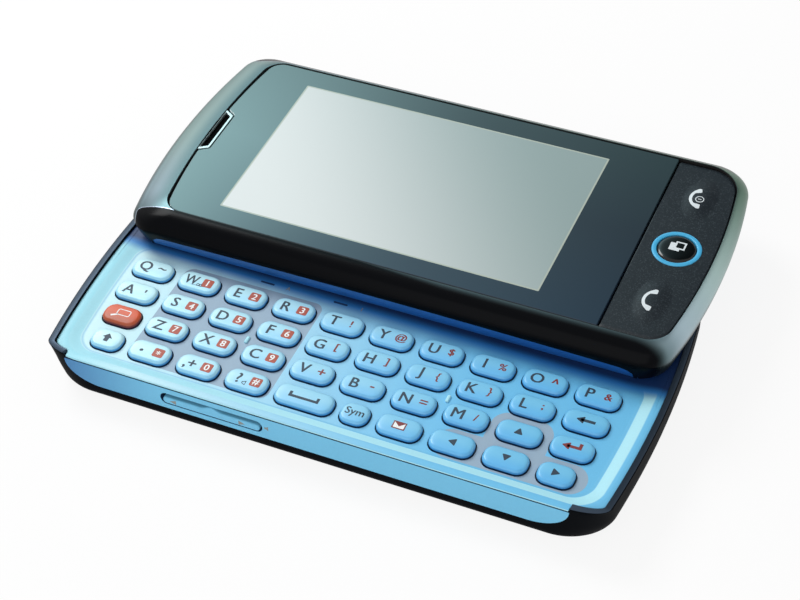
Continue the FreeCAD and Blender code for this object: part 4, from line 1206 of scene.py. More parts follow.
@dataclass
class BackPanel:
    """Coloured underside of the screen half, with the strip under each flank."""

    shell: ScreenShell
    inset: float = 1.7
    thick: float = 0.8
    corner: float = 3.0
    pocket_gap: float = 0.1
    recess: float = 0.14
    foot_round: float = 0.3

    def plate(self) -> Mesh:
        """Flat plate with bowed ends and the carriage's pocket cut out."""
        phone = self.shell.phone
        outline = Perimeter.make(np.linspace(0, 1, 9), 20, 8)
        x, y = phone.half_length - self.inset, phone.half_width - self.inset
        rounder = self.shell.far_right_extra * outline.u * outline.v
        flat = phone.bowed(outline.draw(-x, x, -y, y, self.corner + rounder))[:, :2]
        low, high = extent("slide_carriage")
        gap = self.pocket_gap
        pocket = np.array([(low[0] - gap, low[1] - gap), (high[0] + gap, low[1] - gap),
                           (high[0] + gap, high[1] + gap), (low[0] - gap, high[1] + gap)])
        flat[:, 1] += phone.open_by
        return prism("panel_plate", [flat, pocket], phone.upper_under,
                     phone.upper_under + self.thick)

    def strip(self, side: int) -> Mesh:
        """One strip: a section with a rounded foot, carried along the lens outline.

        The outer face follows the flank's foot arc, set back by the recess, and the
        section's height follows the lens outline.

        Args:
            side: -1 for the near flank, 1 for the far one.
        """
        shell = self.shell
        phone = shell.phone
        foot = shell.foot_profile(40)
        half = phone.half_length - shell.lens_inset - 0.06
        turn = half - shell.lens_end * (1 - np.cos(np.linspace(0.12, math.pi / 2, 14)))
        middle = np.linspace(-turn[-1], turn[-1], 41)[1:-1]
        x = np.concatenate([-turn, middle, turn[::-1]])
        top = shell.lens_top(x, -0.06)
        inner = shell.foot_inset + shell.lens_depth
        under = phone.upper_under
        lean = np.linspace(0, math.pi / 2, 6)
        start = np.minimum(self.foot_round, (top - under) * 0.4)
        rows = [np.stack([x, 0 * x + inner, 0 * x + under], axis=-1)]
        for angle in lean:
            z = under + start * (1 - np.cos(angle))
            inset = np.interp(z, foot[:, 1], foot[:, 0]) + self.recess \
                + start * (1 - np.sin(angle))
            rows.append(np.stack([x, inset, z], axis=-1))
        for share in np.linspace(0, 1, 7)[1:]:
            z = under + start + (top - under - start) * share
            inset = np.interp(z, foot[:, 1], foot[:, 0]) + self.recess
            rows.append(np.stack([x, inset, z], axis=-1))
        rows.append(np.stack([x, 0 * x + inner, top], axis=-1))
        grid = np.stack(rows)
        grid[..., 1] = side * (phone.half_width - grid[..., 1]) + phone.open_by
        return loft(f"strip_{side}", grid, closed=False, wrap_rows=True, cap_columns=True)

    def build(self) -> Object:
        """Joins the plate and both strips into one piece."""
        mesh = combine("screen_back", [(self.plate(), 0), (self.strip(-1), 0),
                                       (self.strip(1), 0)])
        piece = to_object("screen_back", mesh, [BLUE_PANEL], SCREEN_HALF)
        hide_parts("screen_back_panel")
        return piece


def soften(mesh: Mesh, width: float, segments: int = 2,
           top_only: bool = True) -> Mesh:
    """Rounds a plate's sharp edges.

    Flat triangles are first merged into whole faces, so that only true edges are left.

    Args:
        mesh: a closed plate, in metres.
        width: how far the rounding reaches, in millimetres.
        segments: steps round the edge.
        top_only: round only the upper edges.

    Returns:
        The same mesh.
    """
    work = bmesh.new()
    work.from_mesh(mesh)
    bmesh.ops.dissolve_limit(work, angle_limit=math.radians(0.4), verts=work.verts,
                             edges=work.edges)
    top = max(vertex.co.z for vertex in work.verts) - 0.02 * MM
    sharp = [edge for edge in work.edges if edge.is_manifold
             and edge.calc_face_angle(0) > math.radians(50)
             and (not top_only or min(v.co.z for v in edge.verts) > top)]
    bmesh.ops.bevel(work, geom=sharp, offset=width * MM, offset_type="OFFSET",
                    segments=segments, profile=0.5, affect="EDGES", clamp_overlap=True)
    bmesh.ops.recalc_face_normals(work, faces=work.faces)
    work.to_mesh(mesh)
    work.free()
    return mesh


def turned(profile: list[Pair], x: float, y: float, count: int = 64
           ) -> Array:
    """Grid of a surface of revolution: radius and height pairs swung round (x, y)."""
    angle = np.linspace(0, 2 * math.pi, count, endpoint=False)
    shape = np.array(profile, float)
    return np.stack([x + shape[:, :1] * np.cos(angle), y + shape[:, :1] * np.sin(angle),
                     np.broadcast_to(shape[:, 1:], (len(shape), count))], axis=-1)


def stroke(points: Array | list[Pair], width: float, closed: bool = False
           ) -> list[Array]:
    """Outline of a line of even width through some points, with mitred corners.

    Each point moves aside along the mean of its two runs' normals, stretched by one over
    the cosine of half the turn.
    """
    place = np.array(points, float)
    run = np.roll(place, -1, axis=0) - place
    if not closed:
        run[-1] = run[-2]
    normal = np.stack([-run[:, 1], run[:, 0]], axis=-1)
    normal /= np.linalg.norm(normal, axis=1, keepdims=True)
    before = np.roll(normal, 1, axis=0)
    if not closed:
        before[0] = normal[0]
        before[-1] = normal[-1]
    mean = normal + before
    mean /= np.linalg.norm(mean, axis=1, keepdims=True)
    reach = width / 2 / np.sum(mean * normal, axis=1, keepdims=True)
    left, right = place + mean * reach, place - mean * reach
    return [left, right[::-1]] if closed else [np.concatenate([left, right[::-1]])]


@dataclass
class Window:
    """Cover glass with the notch that lets the earpiece through."""

    phone: Phone
    gap: float = 0.12
    edge_round: float = 0.12
    thick: float = 1.2
    corner: float = 3.0
    notch_gap: float = 0.27

    def outline(self) -> Array:
        """Rounded outline with a bowed left end, a straight right end and the notch."""
        low, high = extent("touch_window")
        y_low, y_high = low[1] - self.phone.open_by, high[1] - self.phone.open_by
        x_left = low[0] + self.gap * 0.5
        notch_x = EARPIECE.right + self.notch_gap
        notch_y = EARPIECE.tip + self.notch_gap
        inner_y = EARPIECE.shoulder + self.notch_gap / 2

        def edge_x(y: float) -> float:
            """Bowed left edge."""
            return x_left + float(self.phone.sag(self.phone.half_length, np.array(y)))

        side = np.linspace(y_high - 4.5, notch_y + 1.6, 6)
        corners = [(edge_x(y_low), y_low, self.corner), (high[0], y_low, 0.3),
                   (high[0], y_high, 0.3), (edge_x(y_high), y_high, self.corner)]
        corners += [(edge_x(y), y, 0) for y in side]
        corners += [(edge_x(notch_y), notch_y, 0.5), (notch_x, inner_y, 0.6),
                    (notch_x, -inner_y, 0.6), (edge_x(-notch_y), -notch_y, 0.5)]
        corners += [(edge_x(y), y, 0) for y in -side[::-1]]
        flat = filleted(corners, 8)
        flat[:, 1] += self.phone.open_by
        return flat

    def build(self) -> Object:
        """Makes the flat pane with softened edges."""
        top = extent("touch_window")[1][2]
        mesh = soften(prism("window", [self.outline()], top - self.thick, top),
                      self.edge_round)
        glass = replace(GLASS, offset_y=self.phone.open_by)
        piece = to_object("touch_window_glass", mesh, [glass], SCREEN_HALF)
        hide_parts("touch_window")
        return piece


@dataclass
class Earpiece:
    """Slot of the earpiece: a bright lip with slanted ends round a drilled plate."""

    left: float = -46.3
    right: float = -44.45
    tip: float = 6.0
    shoulder: float = 4.9
    mouth_right: float = -44.86
    mouth_tip: float = 5.45
    mouth_shoulder: float = 4.5
    plate_drop: float = 0.55
    deep: float = 1.5
    sunk: float = 0.1

    @staticmethod
    def slot(left: float, right: float, tip: float, shoulder: float, corner: float
             ) -> list[tuple[float, float, float]]:
        """Corners of a slot whose ends slant in towards its right side."""
        return [(left, -tip, 0.1), (right, -shoulder, corner), (right, shoulder, corner),
                (left, tip, 0.1)]

    def build(self, phone: Phone) -> Object:
        """Makes the lip as a plate with a mouth, and the drilled plate below it.

        Args:
            phone: overall sizes.

        Returns:
            The finished piece.
        """
        outer = filleted(self.slot(self.left, self.right, self.tip, self.shoulder, 0.5))
        mouth = filleted(self.slot(self.left + 0.08, self.mouth_right, self.mouth_tip,
                                   self.mouth_shoulder, 0.3))
        for outline in (outer, mouth):
            outline[:, 1] += phone.open_by
        top = phone.top - self.sunk
        lip = soften(prism("ear_lip", [outer, mouth], top - self.deep, top), 0.16, 3)
        plate = prism("ear_plate", [mouth], top - self.deep + 0.05, top - self.plate_drop)
        mesh = combine("earpiece", [(lip, 0), (plate, 1)])
        piece = to_object("earpiece_slot", mesh, [RIM, EARPIECE_MESH],
                          SCREEN_HALF)
        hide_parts("earpiece")
        return piece


EARPIECE = Earpiece()


@dataclass
class CallKeys:
    """Rocking plate with the two call keys, its coloured ring, and the menu key."""

    phone: Phone
    menu_x: float = 44.4
    ring_radius: float = 4.35
    ring_hole: float = 3.5
    menu_radius: float = 3.36
    seam: float = 0.12
    corner: float = 3.4
    far_corner: float = 5.6
    bump_y: float = 13.6
    bump_size: Pair = (3.1, 5.9)
    bump_rise: float = 0.32
    sunk: float = 0.34
    fall_right: float = 0.1
    fall_from: float = 46.0
    fall_span: float = 6.0
    fall_ends: float = 0.05
    half_width: float = 22.5
    edge_round: float = 0.25
    edge_drop: float = 0.18
    thick: float = 1.1
    end_sign: Pair = (44.35, 13.35)
    columns: int = 200
    rows: int = 40

    def edge(self) -> Array:
        """Plate's outline in even steps: straight beside the window, bowed outside."""
        low, high = extent("call_key_plate")
        y_low = low[1] - self.phone.open_by + 0.12
        high[0] -= 0.1
        y = np.linspace(y_low + 4.2, -y_low - 6.6, 11)
        sags = self.phone.sag(self.phone.half_length, y)
        bow = [(high[0] - sag, v, 0) for v, sag in zip(y, sags)]
        end = high[0] - self.phone.sag(self.phone.half_length, y_low)
        inner = low[0] + self.seam
        flat = filleted([(inner, y_low, 0.3), (end, y_low, self.corner), *bow,
                         (end, -y_low, self.far_corner), (inner, -y_low, 0.3)], 8)
        loop = np.concatenate([flat, flat[:1]])
        lengths = np.linalg.norm(np.diff(loop, axis=0), axis=1)
        way = np.concatenate([[0], np.cumsum(lengths)])
        step = np.linspace(0, way[-1], self.columns, endpoint=False)
        return np.stack([np.interp(step, way, loop[:, axis]) for axis in (0, 1)], axis=-1)

    def height(self, x: Array, y: Array) -> Array:
        """Plate's surface: it falls away to its outer edge and swells at both keys.

        Each swelling is (1 - r^2) ** 1.5 over an ellipse, so it meets the plate flat.
        """
        right = np.clip((x - self.fall_from) / self.fall_span, 0, 1)
        fall = right ** 2 * self.fall_right + (y / self.half_width) ** 4 * self.fall_ends
        rise = np.zeros(np.shape(x))
        for side in (-1, 1):
            radius = ((x - self.menu_x) / self.bump_size[0]) ** 2 \
                + ((y - side * self.bump_y) / self.bump_size[1]) ** 2
            rise = rise + self.bump_rise * (1 - np.clip(radius, 0, 1)) ** 1.5
        return self.phone.top - self.sunk - fall + rise

    def plate(self) -> Mesh:
        """Closed plate: rows run from the outer edge in to the ring's seat.

        Each row lies the same share of the way from the outline to the circle, along
        lines through the ring's centre, and the height function sets its z.
        """
        edge = self.edge()
        centre = np.array([self.menu_x, 0.0])
        ray = edge - centre
        ray /= np.linalg.norm(ray, axis=1, keepdims=True)
        circle = centre + ray * (self.ring_radius + 0.05)
        share = np.linspace(0, 1, self.rows)[:, None, None]
        flat = edge + (circle - edge) * share
        top = self.height(flat[..., 0], flat[..., 1])
        rounding = np.clip(np.linalg.norm(flat - edge, axis=-1) / self.edge_round, 0, 1)
        top = top - self.edge_drop * (1 - np.sqrt(1 - (1 - rounding) ** 2))
        under = np.full((1, len(edge)), self.phone.top - self.thick)
        grid = np.concatenate([np.concatenate([edge[None], flat, circle[None]]),
                               np.concatenate([under, top, under])[..., None]], axis=-1)
        grid[..., 1] += self.phone.open_by
        return loft("call_plate", grid, wrap_rows=True)

    def ring(self) -> Mesh:
        """Ring with a rounded top, turned about the menu key's centre."""
        top, inner, outer = self.phone.top, self.ring_hole, self.ring_radius
        profile = [(outer, top - self.thick), (outer, top - 0.34),
                   (outer - 0.06, top - 0.26), (outer - 0.2, top - 0.21),
                   ((inner + outer) / 2, top - 0.19), (inner + 0.18, top - 0.21),
                   (inner + 0.05, top - 0.26), (inner, top - 0.34),
                   (inner, top - self.thick)]
        return loft("ring", turned(profile, self.menu_x, self.phone.open_by, 96),
                    wrap_rows=True)

    def menu_height(self, radius: Array) -> Array:
        """Dome of the menu key: a shallow paraboloid with a rounded edge."""
        share = np.clip(radius / self.menu_radius, 0, 1)
        return self.phone.top - 0.03 - 0.14 * share ** 2 - 0.25 * share ** 12

    def build(self) -> list[Object]:
        """Builds the plate with its ring, the menu key and their icons."""
        plate = to_object("call_keys", combine("call_keys", [
            (self.plate(), 0), (self.ring(), 1),
            *((icon, 2) for icon in self.handsets())]),
            [CALL_PLATE, RING, ICON], "call_key_plate")
        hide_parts("call_key_plate")
        radius = np.concatenate([[self.menu_radius], self.menu_radius
                                 * np.linspace(1, 0.03, 26)])
        height = self.menu_height(radius)
        height[0] = self.phone.top - 1.2
        dome = loft("dome", turned(list(zip(radius, height)), self.menu_x,
                                   self.phone.open_by, 80), cap_rows=True)
        dome = combine("menu_key_dome", [(dome, 0),
                                         *((icon, 1) for icon in self.menu_icon())])
        menu = to_object("menu_key_dome", dome, [MENU, ICON], "menu_key")
        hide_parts("menu_key")
        return [plate, menu]

    def lay(self, outlines: list[Array], x: float, y: float, turn_deg: float = 0.0,
            on_menu: bool = False) -> Mesh:
        """Thin print laid on the curved keys at a place, after an optional turn."""
        placed = [spun(outline, turn_deg) + (x, y) for outline in outlines]
        mesh = prism("print", placed, -PRINT_HALF, PRINT_HALF)
        points = drape(mesh)
        if on_menu:
            surface = self.menu_height(np.hypot(points[:, 0] - self.menu_x, points[:, 1]))
        else:
            surface = self.height(points[:, 0], points[:, 1])
        points[:, 2] += surface + PRINT_LIFT
        points[:, 1] += self.phone.open_by
        return put_points(mesh, points)

    @staticmethod
    def handset() -> Array:
        """Outline of a telephone handset: an arc with a block at each end."""
        outer = [(2.85 * math.sin(a), 2.85 * math.cos(a) - 1.9, 0)
                 for a in np.linspace(-0.98, 0.98, 13)]
        inner = [(2.3 * math.sin(a), 2.3 * math.cos(a) - 1.9, 0)
                 for a in np.linspace(0.62, -0.62, 9)]
        return filleted([(-2.6, -1.1, 0.2), (-2.62, -0.6, 0.15), *outer,
                         (2.62, -0.6, 0.15), (2.6, -1.1, 0.2), (1.6, -1.2, 0.2),
                         *inner, (-1.6, -1.2, 0.2)], 3)

    def handsets(self) -> list[Mesh]:
        """A handset on each call key; the far one also has a ring with a bar."""
        circle = [(math.cos(a) * 0.72, math.sin(a) * 0.72)
                  for a in np.linspace(0, 2 * math.pi, 28, endpoint=False)]
        far_x, far_y = self.end_sign
        return [self.lay([self.handset()], self.menu_x - 0.75, -self.bump_y, 90),
                self.lay([self.handset()], self.menu_x - 1.05, self.bump_y - 0.2, 100),
                self.lay(stroke(circle, 0.16, True), far_x, far_y),
                self.lay(stroke([(-0.33, 0), (0.33, 0)], 0.17), far_x, far_y)]

    def menu_icon(self) -> list[Mesh]:
        """Two overlapping squares: an open one in front of a filled one."""
        front = [(-0.8, -0.8), (0.8, -0.8), (0.8, 0.8), (-0.8, 0.8)]
        behind = np.array([(-1.8, -1.45), (0.1, -1.45), (0.1, -0.96), (-0.96, -0.96),
                           (-0.96, 0.45), (-1.8, 0.45)])
        return [self.lay(stroke(front, 0.3, True), self.menu_x + 0.45, 0.67, 0, True),
                self.lay([behind], self.menu_x + 0.45, 0.67, 0, True)]


# ---- keyboard half -------------------------------------------------------------------
class Ink(Enum):
    """Material numbers of the prints on a key."""

    DARK = 1
    RED = 2
    SQUARE = 3
    WHITE = 4


ARROW = [(-0.9, -0.75), (0.9, -0.75), (0.0, 0.8)]
LETTERS = "qwertyuiopasdfghjklzxcvbnm"
SECOND_MARKS = {
    "q": ("~", Ink.DARK), "w": ("1", Ink.SQUARE), "e": ("2", Ink.SQUARE),
    "r": ("3", Ink.SQUARE), "t": ("!", Ink.RED), "y": ("@", Ink.RED),
    "u": ("$", Ink.RED), "i": ("%", Ink.RED), "o": ("^", Ink.RED), "p": ("&", Ink.RED),
    "a": ("'", Ink.DARK), "s": ("4", Ink.SQUARE), "d": ("5", Ink.SQUARE),
    "f": ("6", Ink.SQUARE), "g": ("[", Ink.RED), "h": ("]", Ink.RED),
    "j": ("{", Ink.RED), "k": ("}", Ink.RED), "l": (";", Ink.RED),
    "z": ("7", Ink.SQUARE), "x": ("8", Ink.SQUARE), "c": ("9", Ink.SQUARE),
    "v": ("+", Ink.RED), "b": ("-", Ink.RED), "n": ("=", Ink.RED), "m": ("/", Ink.RED),
    "period": ("*", Ink.SQUARE), "comma": ("0", Ink.SQUARE),
    "question": ("#", Ink.SQUARE),
}
FIRST_MARKS = {"period": ".", "comma": ",+", "question": "?"}
LOOP = [(0.24 * math.cos(a), 0.24 * math.sin(a))
        for a in np.linspace(0, 2 * math.pi, 12, endpoint=False)]
# Voice mail sign beside the W, and a small sounder beside the question mark.
SMALL_SIGNS = {
    "w": [(LOOP, 0.2), (LOOP, 0.72), ([(0.0, -0.24), (0.5, -0.24), (0.5, -0.2)], 0.2)],
    "question": [([(-0.3, -0.15), (0.3, -0.4), (0.3, 0.4), (-0.3, 0.15)], -0.2)],
}


def lettering(text: str, size: float, weight: float = 0.0) -> Mesh:
    """Printed characters as a thin mesh, centred on the middle of their own box.

    Bolder characters are struck twice, the second time aside and a hair higher.

    Args:
        text: the characters.
        size: height of a capital, in millimetres.
        weight: how far aside the second strike goes, in millimetres.

    Returns:
        A closed mesh in metres.
    """
    capital_share = 0.73
    curve = bpy.data.curves.new("text_" + str(len(bpy.data.curves)), "FONT")
    curve.body = text
    curve.size = size / capital_share * MM
    curve.extrude = PRINT_HALF * MM
    curve.resolution_u = 3
    mesh = curve_to_mesh(curve, 0.0)
    if weight:
        again = mesh.copy()
        again.transform(Matrix.Translation((weight * MM, 0.4 * weight * MM, 0.003 * MM)))
        mesh = combine(mesh.name, [(mesh, 0), (again, 0)])
    points = points_of(mesh)
    points[:, :2] -= (points[:, :2].min(axis=0) + points[:, :2].max(axis=0)) / 2
    return put_points(mesh, points)


@dataclass
class KeyCap:
    """One key: a pillow-shaped cap in the hole of the deck, with its legends."""

    node: str
    flange: float = 0.45
    corner: float = 1.85
    wall_foot: float = 6.9
    first_x: float = -1.4
    second_x: float = 1.75
    insets: tuple[float, ...] = (0.0, 0.03, 0.09, 0.34, 0.44, 0.58, 1.0, 1.6)
    drops: tuple[float, ...] = (0.62, 0.44, 0.35, 0.12, 0.07, 0.05, 0.02, 0.0)

    def __post_init__(self) -> None:
        """Reads the key's place and size off its CAD node."""
        low, high = extent(self.node)
        self.middle = (low[:2] + high[:2]) / 2
        self.half = (high[:2] - low[:2]) / 2 - self.flange
        self.top = float(high[2])
        self.label = self.node.removeprefix("key_")

    def surface_height(self, x: Array, y: Array) -> Array:
        """Height of the cap over a place beside its middle.

        The place's distance inside the rounded outline picks the drop from the profile.
        """
        over = np.abs(np.stack([x, y], axis=-1)) - (self.half - self.corner)
        outside = np.linalg.norm(np.clip(over, 0, None), axis=-1)
        inside = np.clip(np.max(over, axis=-1), None, 0)
        depth = self.corner - outside - inside
        return self.top - np.interp(depth, self.insets, self.drops)

    def cap(self) -> Mesh:
        """Rows of the rounded outline, each drawn in by its inset and down by its drop."""
        outline = Perimeter.make(np.linspace(0, 1, 3), 2, 6)
        rows = []
        steps = [(0.05, self.top - self.wall_foot), (0.0, self.drops[0] + 0.3)]
        for inset, drop in [*steps, *zip(self.insets, self.drops)]:
            flat = outline.draw(-self.half[0] + inset, self.half[0] - inset,
                                -self.half[1] + inset, self.half[1] - inset,
                                max(self.corner - inset, 0.35))
            flat += self.middle
            rows.append(np.column_stack([flat, np.full(len(flat), self.top - drop)]))
        return loft(self.node + "_cap", rows, cap_rows=True)

    def lay(self, mesh: Mesh, x: float, y: float, lift: float = PRINT_LIFT
            ) -> Mesh:
        """Drapes a flat print over the cap, its middle at a place beside the key's."""
        points = drape(mesh)
        points[:, :2] += (x, y)
        points[:, 2] += self.surface_height(points[:, 0], points[:, 1]) + lift
        points[:, :2] += self.middle
        return put_points(mesh, points)

    def shape(self, *outlines: Array, x: float = 0.0, y: float = 0.0,
              lift: float = PRINT_LIFT) -> Mesh:
        """A filled print from its outlines."""
        mark = prism("mark", list(outlines), -PRINT_HALF, PRINT_HALF)
        return self.lay(mark, x, y, lift)

    def arrow(self, turn_deg: float, size: float, x: float = 0.0) -> Mesh:
        """A filled triangle that points up before its turn."""
        flat = filleted([(px * size, py * size, 0.12) for px, py in ARROW], 3)
        return self.shape(spun(flat, turn_deg), x=x)

    def letter_prints(self) -> list[tuple[Mesh, int]]:
        """Letter on the left, and the second mark on the right."""
        first = self.label.upper() if self.label in LETTERS else FIRST_MARKS[self.label]
        mark, ink = SECOND_MARKS[self.label]
        low = -0.35 if self.label in FIRST_MARKS and first != "?" else 0.0
        size = 3.4 if self.label == "period" else 2.25
        mesh = lettering(first, size, 0.12)
        if first == "W":
            mesh.transform(Matrix.Scale(0.78, 4, Vector((1, 0, 0))))
        prints = [(self.lay(mesh, self.first_x, low), Ink.DARK.value)]
        if self.label in SMALL_SIGNS:
            prints += [(self.shape(*stroke(points, 0.12, True), x=x, y=-0.8),
                        Ink.DARK.value) for points, x in SMALL_SIGNS[self.label]]
        if ink is Ink.SQUARE:
            square = self.shape(rounded(0.0, 0.0, 0.98, 0.98, 0.3), x=self.second_x)
            digit = self.lay(lettering(mark, 1.4, 0.07), self.second_x, 0.0, 0.036)
            prints += [(square, Ink.SQUARE.value), (digit, Ink.WHITE.value)]
        else:
            high = 0.35 if mark in "~^'" else 0.1
            size = 2.0 if mark in "~^'-+=" else 1.55
            second = self.lay(lettering(mark, size, 0.1), self.second_x, high)
            prints.append((second, ink.value))
        return prints

    def symbol_prints(self) -> list[tuple[Mesh, int]]:
        """Drawn symbols of the keys that carry no letter."""
        dark, red, white = Ink.DARK.value, Ink.RED.value, Ink.WHITE.value
        arrows = {"up": 0, "left": 90, "down": 180, "right": 270}
        if self.label in arrows:
            return [(self.arrow(arrows[self.label], 0.9), dark)]
        if self.label == "backspace":
            return [(self.arrow(90, 0.9, -1.0), dark),
                    (self.shape(*stroke([(-0.9, 0), (1.6, 0)], 0.56)), dark)]
        if self.label == "enter":
            return [(self.arrow(90, 0.9, -1.1), red),
                    (self.shape(*stroke([(-0.9, 0), (1.3, 0), (1.3, 1.05)], 0.56)), red)]
        if self.label == "shift":
            block = [(-0.95, 0.05), (0, 1.05), (0.95, 0.05), (0.42, 0.05), (0.42, -0.85),
                     (-0.42, -0.85), (-0.42, 0.05)]
            return [(self.shape(np.array(block)), dark)]
        if self.label == "space":
            tray = [(-2.5, 0.5), (-2.5, -0.4), (2.5, -0.4), (2.5, 0.5)]
            return [(self.shape(*stroke(tray, 0.5)), dark)]
        if self.label == "symbol":
            return [(self.lay(lettering("Sym", 1.55, 0.06), 0.0, -0.1), dark)]
        if self.label == "mail":
            frame_line = [(-1.05, -0.7), (1.05, -0.7), (1.05, 0.7), (-1.05, 0.7)]
            flap = np.array([(-1.0, 0.68), (0, -0.2), (1.0, 0.68)])
            return [(self.shape(np.array(frame_line)), white),
                    (self.shape(*stroke(frame_line, 0.2, True), lift=0.02), red),
                    (self.shape(flap, lift=0.03), red)]
        line = stroke(rounded(0.3, 0.3, 1.2, 0.65, 0.3), 0.16, True)
        tail = stroke([(-0.6, -0.35), (-1.7, -0.95)], 0.34)
        return [(self.shape(*line), white), (self.shape(*tail), white)]

    def build(self) -> Object:
        """Builds the cap and prints its legends on it."""
        lettered = self.label in LETTERS or self.label in FIRST_MARKS
        prints = self.letter_prints() if lettered else self.symbol_prints()
        base = ORANGE_KEY if self.label == "function" else KEYCAP
        mesh = combine(self.node, [(self.cap(), 0), *prints])
        piece = to_object(self.node + "_cap", mesh, [base, DARK_INK, RED_INK, RED_SQUARE,
                                                     WHITE_INK], self.node, 40, False)
        # The attribute places the cap's painted shade on its near edge.
        across = (points_of(piece.data)[:, 1] - self.middle[1]) / self.half[1]
        made = piece.data.attributes.new("across", "FLOAT", "POINT")
        made.data.foreach_set("value", across.astype(np.float32))
        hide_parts(self.node)
        return piece


@dataclass
class Housing:
    """Black rear housing: a hull with a rounded bottom edge and lips round both ends."""

    phone: Phone
    foot_reach: float = 3.4
    foot_height: float = 2.4
    side_reach: float = 4.5
    side_foot: float = 6.0
    draft: float = 0.5
    left_inset: float = 0.06
    left_tuck: float = 0.5
    left_share: float = 1.24
    right_inset: float = 0.4
    least_corner: float = 0.8
    top: float = 8.9
    far_top: float = 8.4
    lip: float = 1.15
    lip_slope: float = 0.32
    lip_reach: float = 46.1
    lip_shift: float = -1.0
    cut_foot: float = 3.4
    cut_wide: float = 7.0
    cut_tall: float = 4.4
    floor: float = 0.9
    cover_half: float = 19.5
    cover_levels: tuple[float, ...] = (0.15, 0.3, 0.5, 0.7)
    cover_end_from: float = 30.0
    cover_tuck: float = 0.02
    cover_end: float = 62.0
    cover_gap: float = 0.1
    rib_half: Pair = (0.25, 6.0)
    rib_rise: float = 0.2
    ribs_x: tuple[float, ...] = (-23.75, -22.35, -20.95, -19.55)
    eye_radius: float = 3.7
    slot_x: float = -41.0
    slot_half: Pair = (4.0, 0.5)
    slots_y: tuple[float, ...] = (-13.0, -11.0, -9.0, -7.0, -5.0)
    socket: tuple[float, float, float] = (18.0, 23.0, 3.4)
    socket_half: Pair = (3.9, 1.3)
    corner_heights: tuple[float, ...] = (0.0, 2.4, 5.5, 8.9)
    corner_wide: tuple[float, ...] = (7.5, 8.5, 8.0, 6.5)
    corner_deep: tuple[float, ...] = (6.0, 6.0, 4.6, 2.5)

    def inset(self, z: Array) -> Array:
        """How far the wall stands in at a height: a quarter ellipse, then a draft."""
        below = np.clip((self.foot_height - z) / self.foot_height, 0, 1)
        above = np.clip((z - self.foot_height) / (self.top - self.foot_height), 0, 1)
        return self.foot_reach * (1 - np.sqrt(1 - below ** 2)) + self.draft * above

    def end_inset(self, z: Array) -> Array:
        """The same at both ends, which tuck in from higher up and have no draft."""
        below = np.clip((self.side_foot - z) / self.side_foot, 0, 1)
        return self.side_reach * (1 - np.sqrt(1 - below ** 2))

    def wall_top(self, x: Array, near: Array) -> Array:
        """Top of the wall: low under the coloured front wall, with quarter round ends,
        a little low along the far side, and full height at the lips."""
        beside = self.lip_reach - np.abs(x - self.lip_shift)
        share = np.clip(beside / self.cut_wide, 0, 1)
        dip = self.cut_foot + self.cut_tall * (1 - np.sqrt(1 - (1 - share) ** 2))
        return np.where(beside > 0, np.where(near, dip, self.far_top), self.top)

    def outline(self) -> Perimeter:
        """Outline with columns close together where the front wall's ends curve."""
        half = self.phone.half_length - self.corner_wide[1]
        x = np.linspace(-half, half, 73)
        return Perimeter.make((x + half) / (2 * half), 18, 60)

    def row(self, outline: Perimeter, z: Array, extra: float = 0.0,
            held: bool = True) -> Array:
        """One row of the wall.

        Args:
            outline: the outline to draw.
            z: height wished for.
            extra: how much further in than the outer face.
            held: keep the row under the top of the wall.

        Returns:
            The row's points, as x, y and z.
        """
        phone = self.phone
        height = np.full(outline.u.shape, float(z))
        for _ in range(3):
            wide = np.interp(height, self.corner_heights, self.corner_wide) - extra
            deep = np.interp(height, self.corner_heights, self.corner_deep) - extra
            inset, end = self.inset(height) + extra, self.end_inset(height)
            left = self.left_inset + self.left_tuck * end + self.left_share * extra
            right = self.right_inset + end + extra
            flat = outline.draw(-phone.half_length + left, phone.half_length - right,
                                -phone.half_width + inset, phone.half_width - inset,
                                wide, np.maximum(deep, self.least_corner))
            flat[:, 0] -= phone.sag(flat[:, 0], flat[:, 1], True)
            if held:
                height = np.minimum(z, self.wall_top(flat[:, 0], flat[:, 1] < 0))
        return np.column_stack([flat, height])

    def wall(self) -> Mesh:
        """Closed wall: up the outer face, over the lip and down the inner face."""
        outline = self.outline()
        angle = np.linspace(math.pi / 2, 0, 12)
        foot = self.foot_height * (1 - np.sin(angle))
        rows = [self.row(outline, 0.0, 0.6)]
        rows[0][:, 2] = self.floor
        rows.append(self.row(outline, 0.0, 0.6))
        rows += [self.row(outline, z) for z in foot]
        rows += [self.row(outline, z) for z in np.linspace(
            self.foot_height, self.top - self.lip_slope - 0.1, 12)[1:]]
        codes = [0] * len(rows)
        # Rows of material 1, the lips' tops, take the lit copy of the plastic.
        for extra, drop, code in ((0.05, self.lip_slope, 0),
                                  (0.14, self.lip_slope - 0.06, 1),
                                  (self.lip - 0.2, 0.02, 1), (self.lip - 0.08, 0.0, 1),
                                  (self.lip - 0.02, 0.04, 0), (self.lip, 0.12, 0)):
            line = self.row(outline, self.top, extra)
            line[:, 2] -= drop
            rows.append(line)
            codes.append(code)
        line = self.row(outline, self.top, self.lip)
        line[:, 2] = np.minimum(line[:, 2] - 0.12, 6.4)
        rows.append(line)
        line = self.row(outline, self.foot_height, 2.0, False)
        line[:, 2] = np.minimum(rows[-1][:, 2], 5.0)
        rows.append(line)
        line = line.copy()
        line[:, 2] = self.floor
        rows.append(line)
        codes += [0] * (len(rows) - len(codes))
        return loft("housing_wall", rows, codes, wrap_rows=True, weld_mm=0.001)

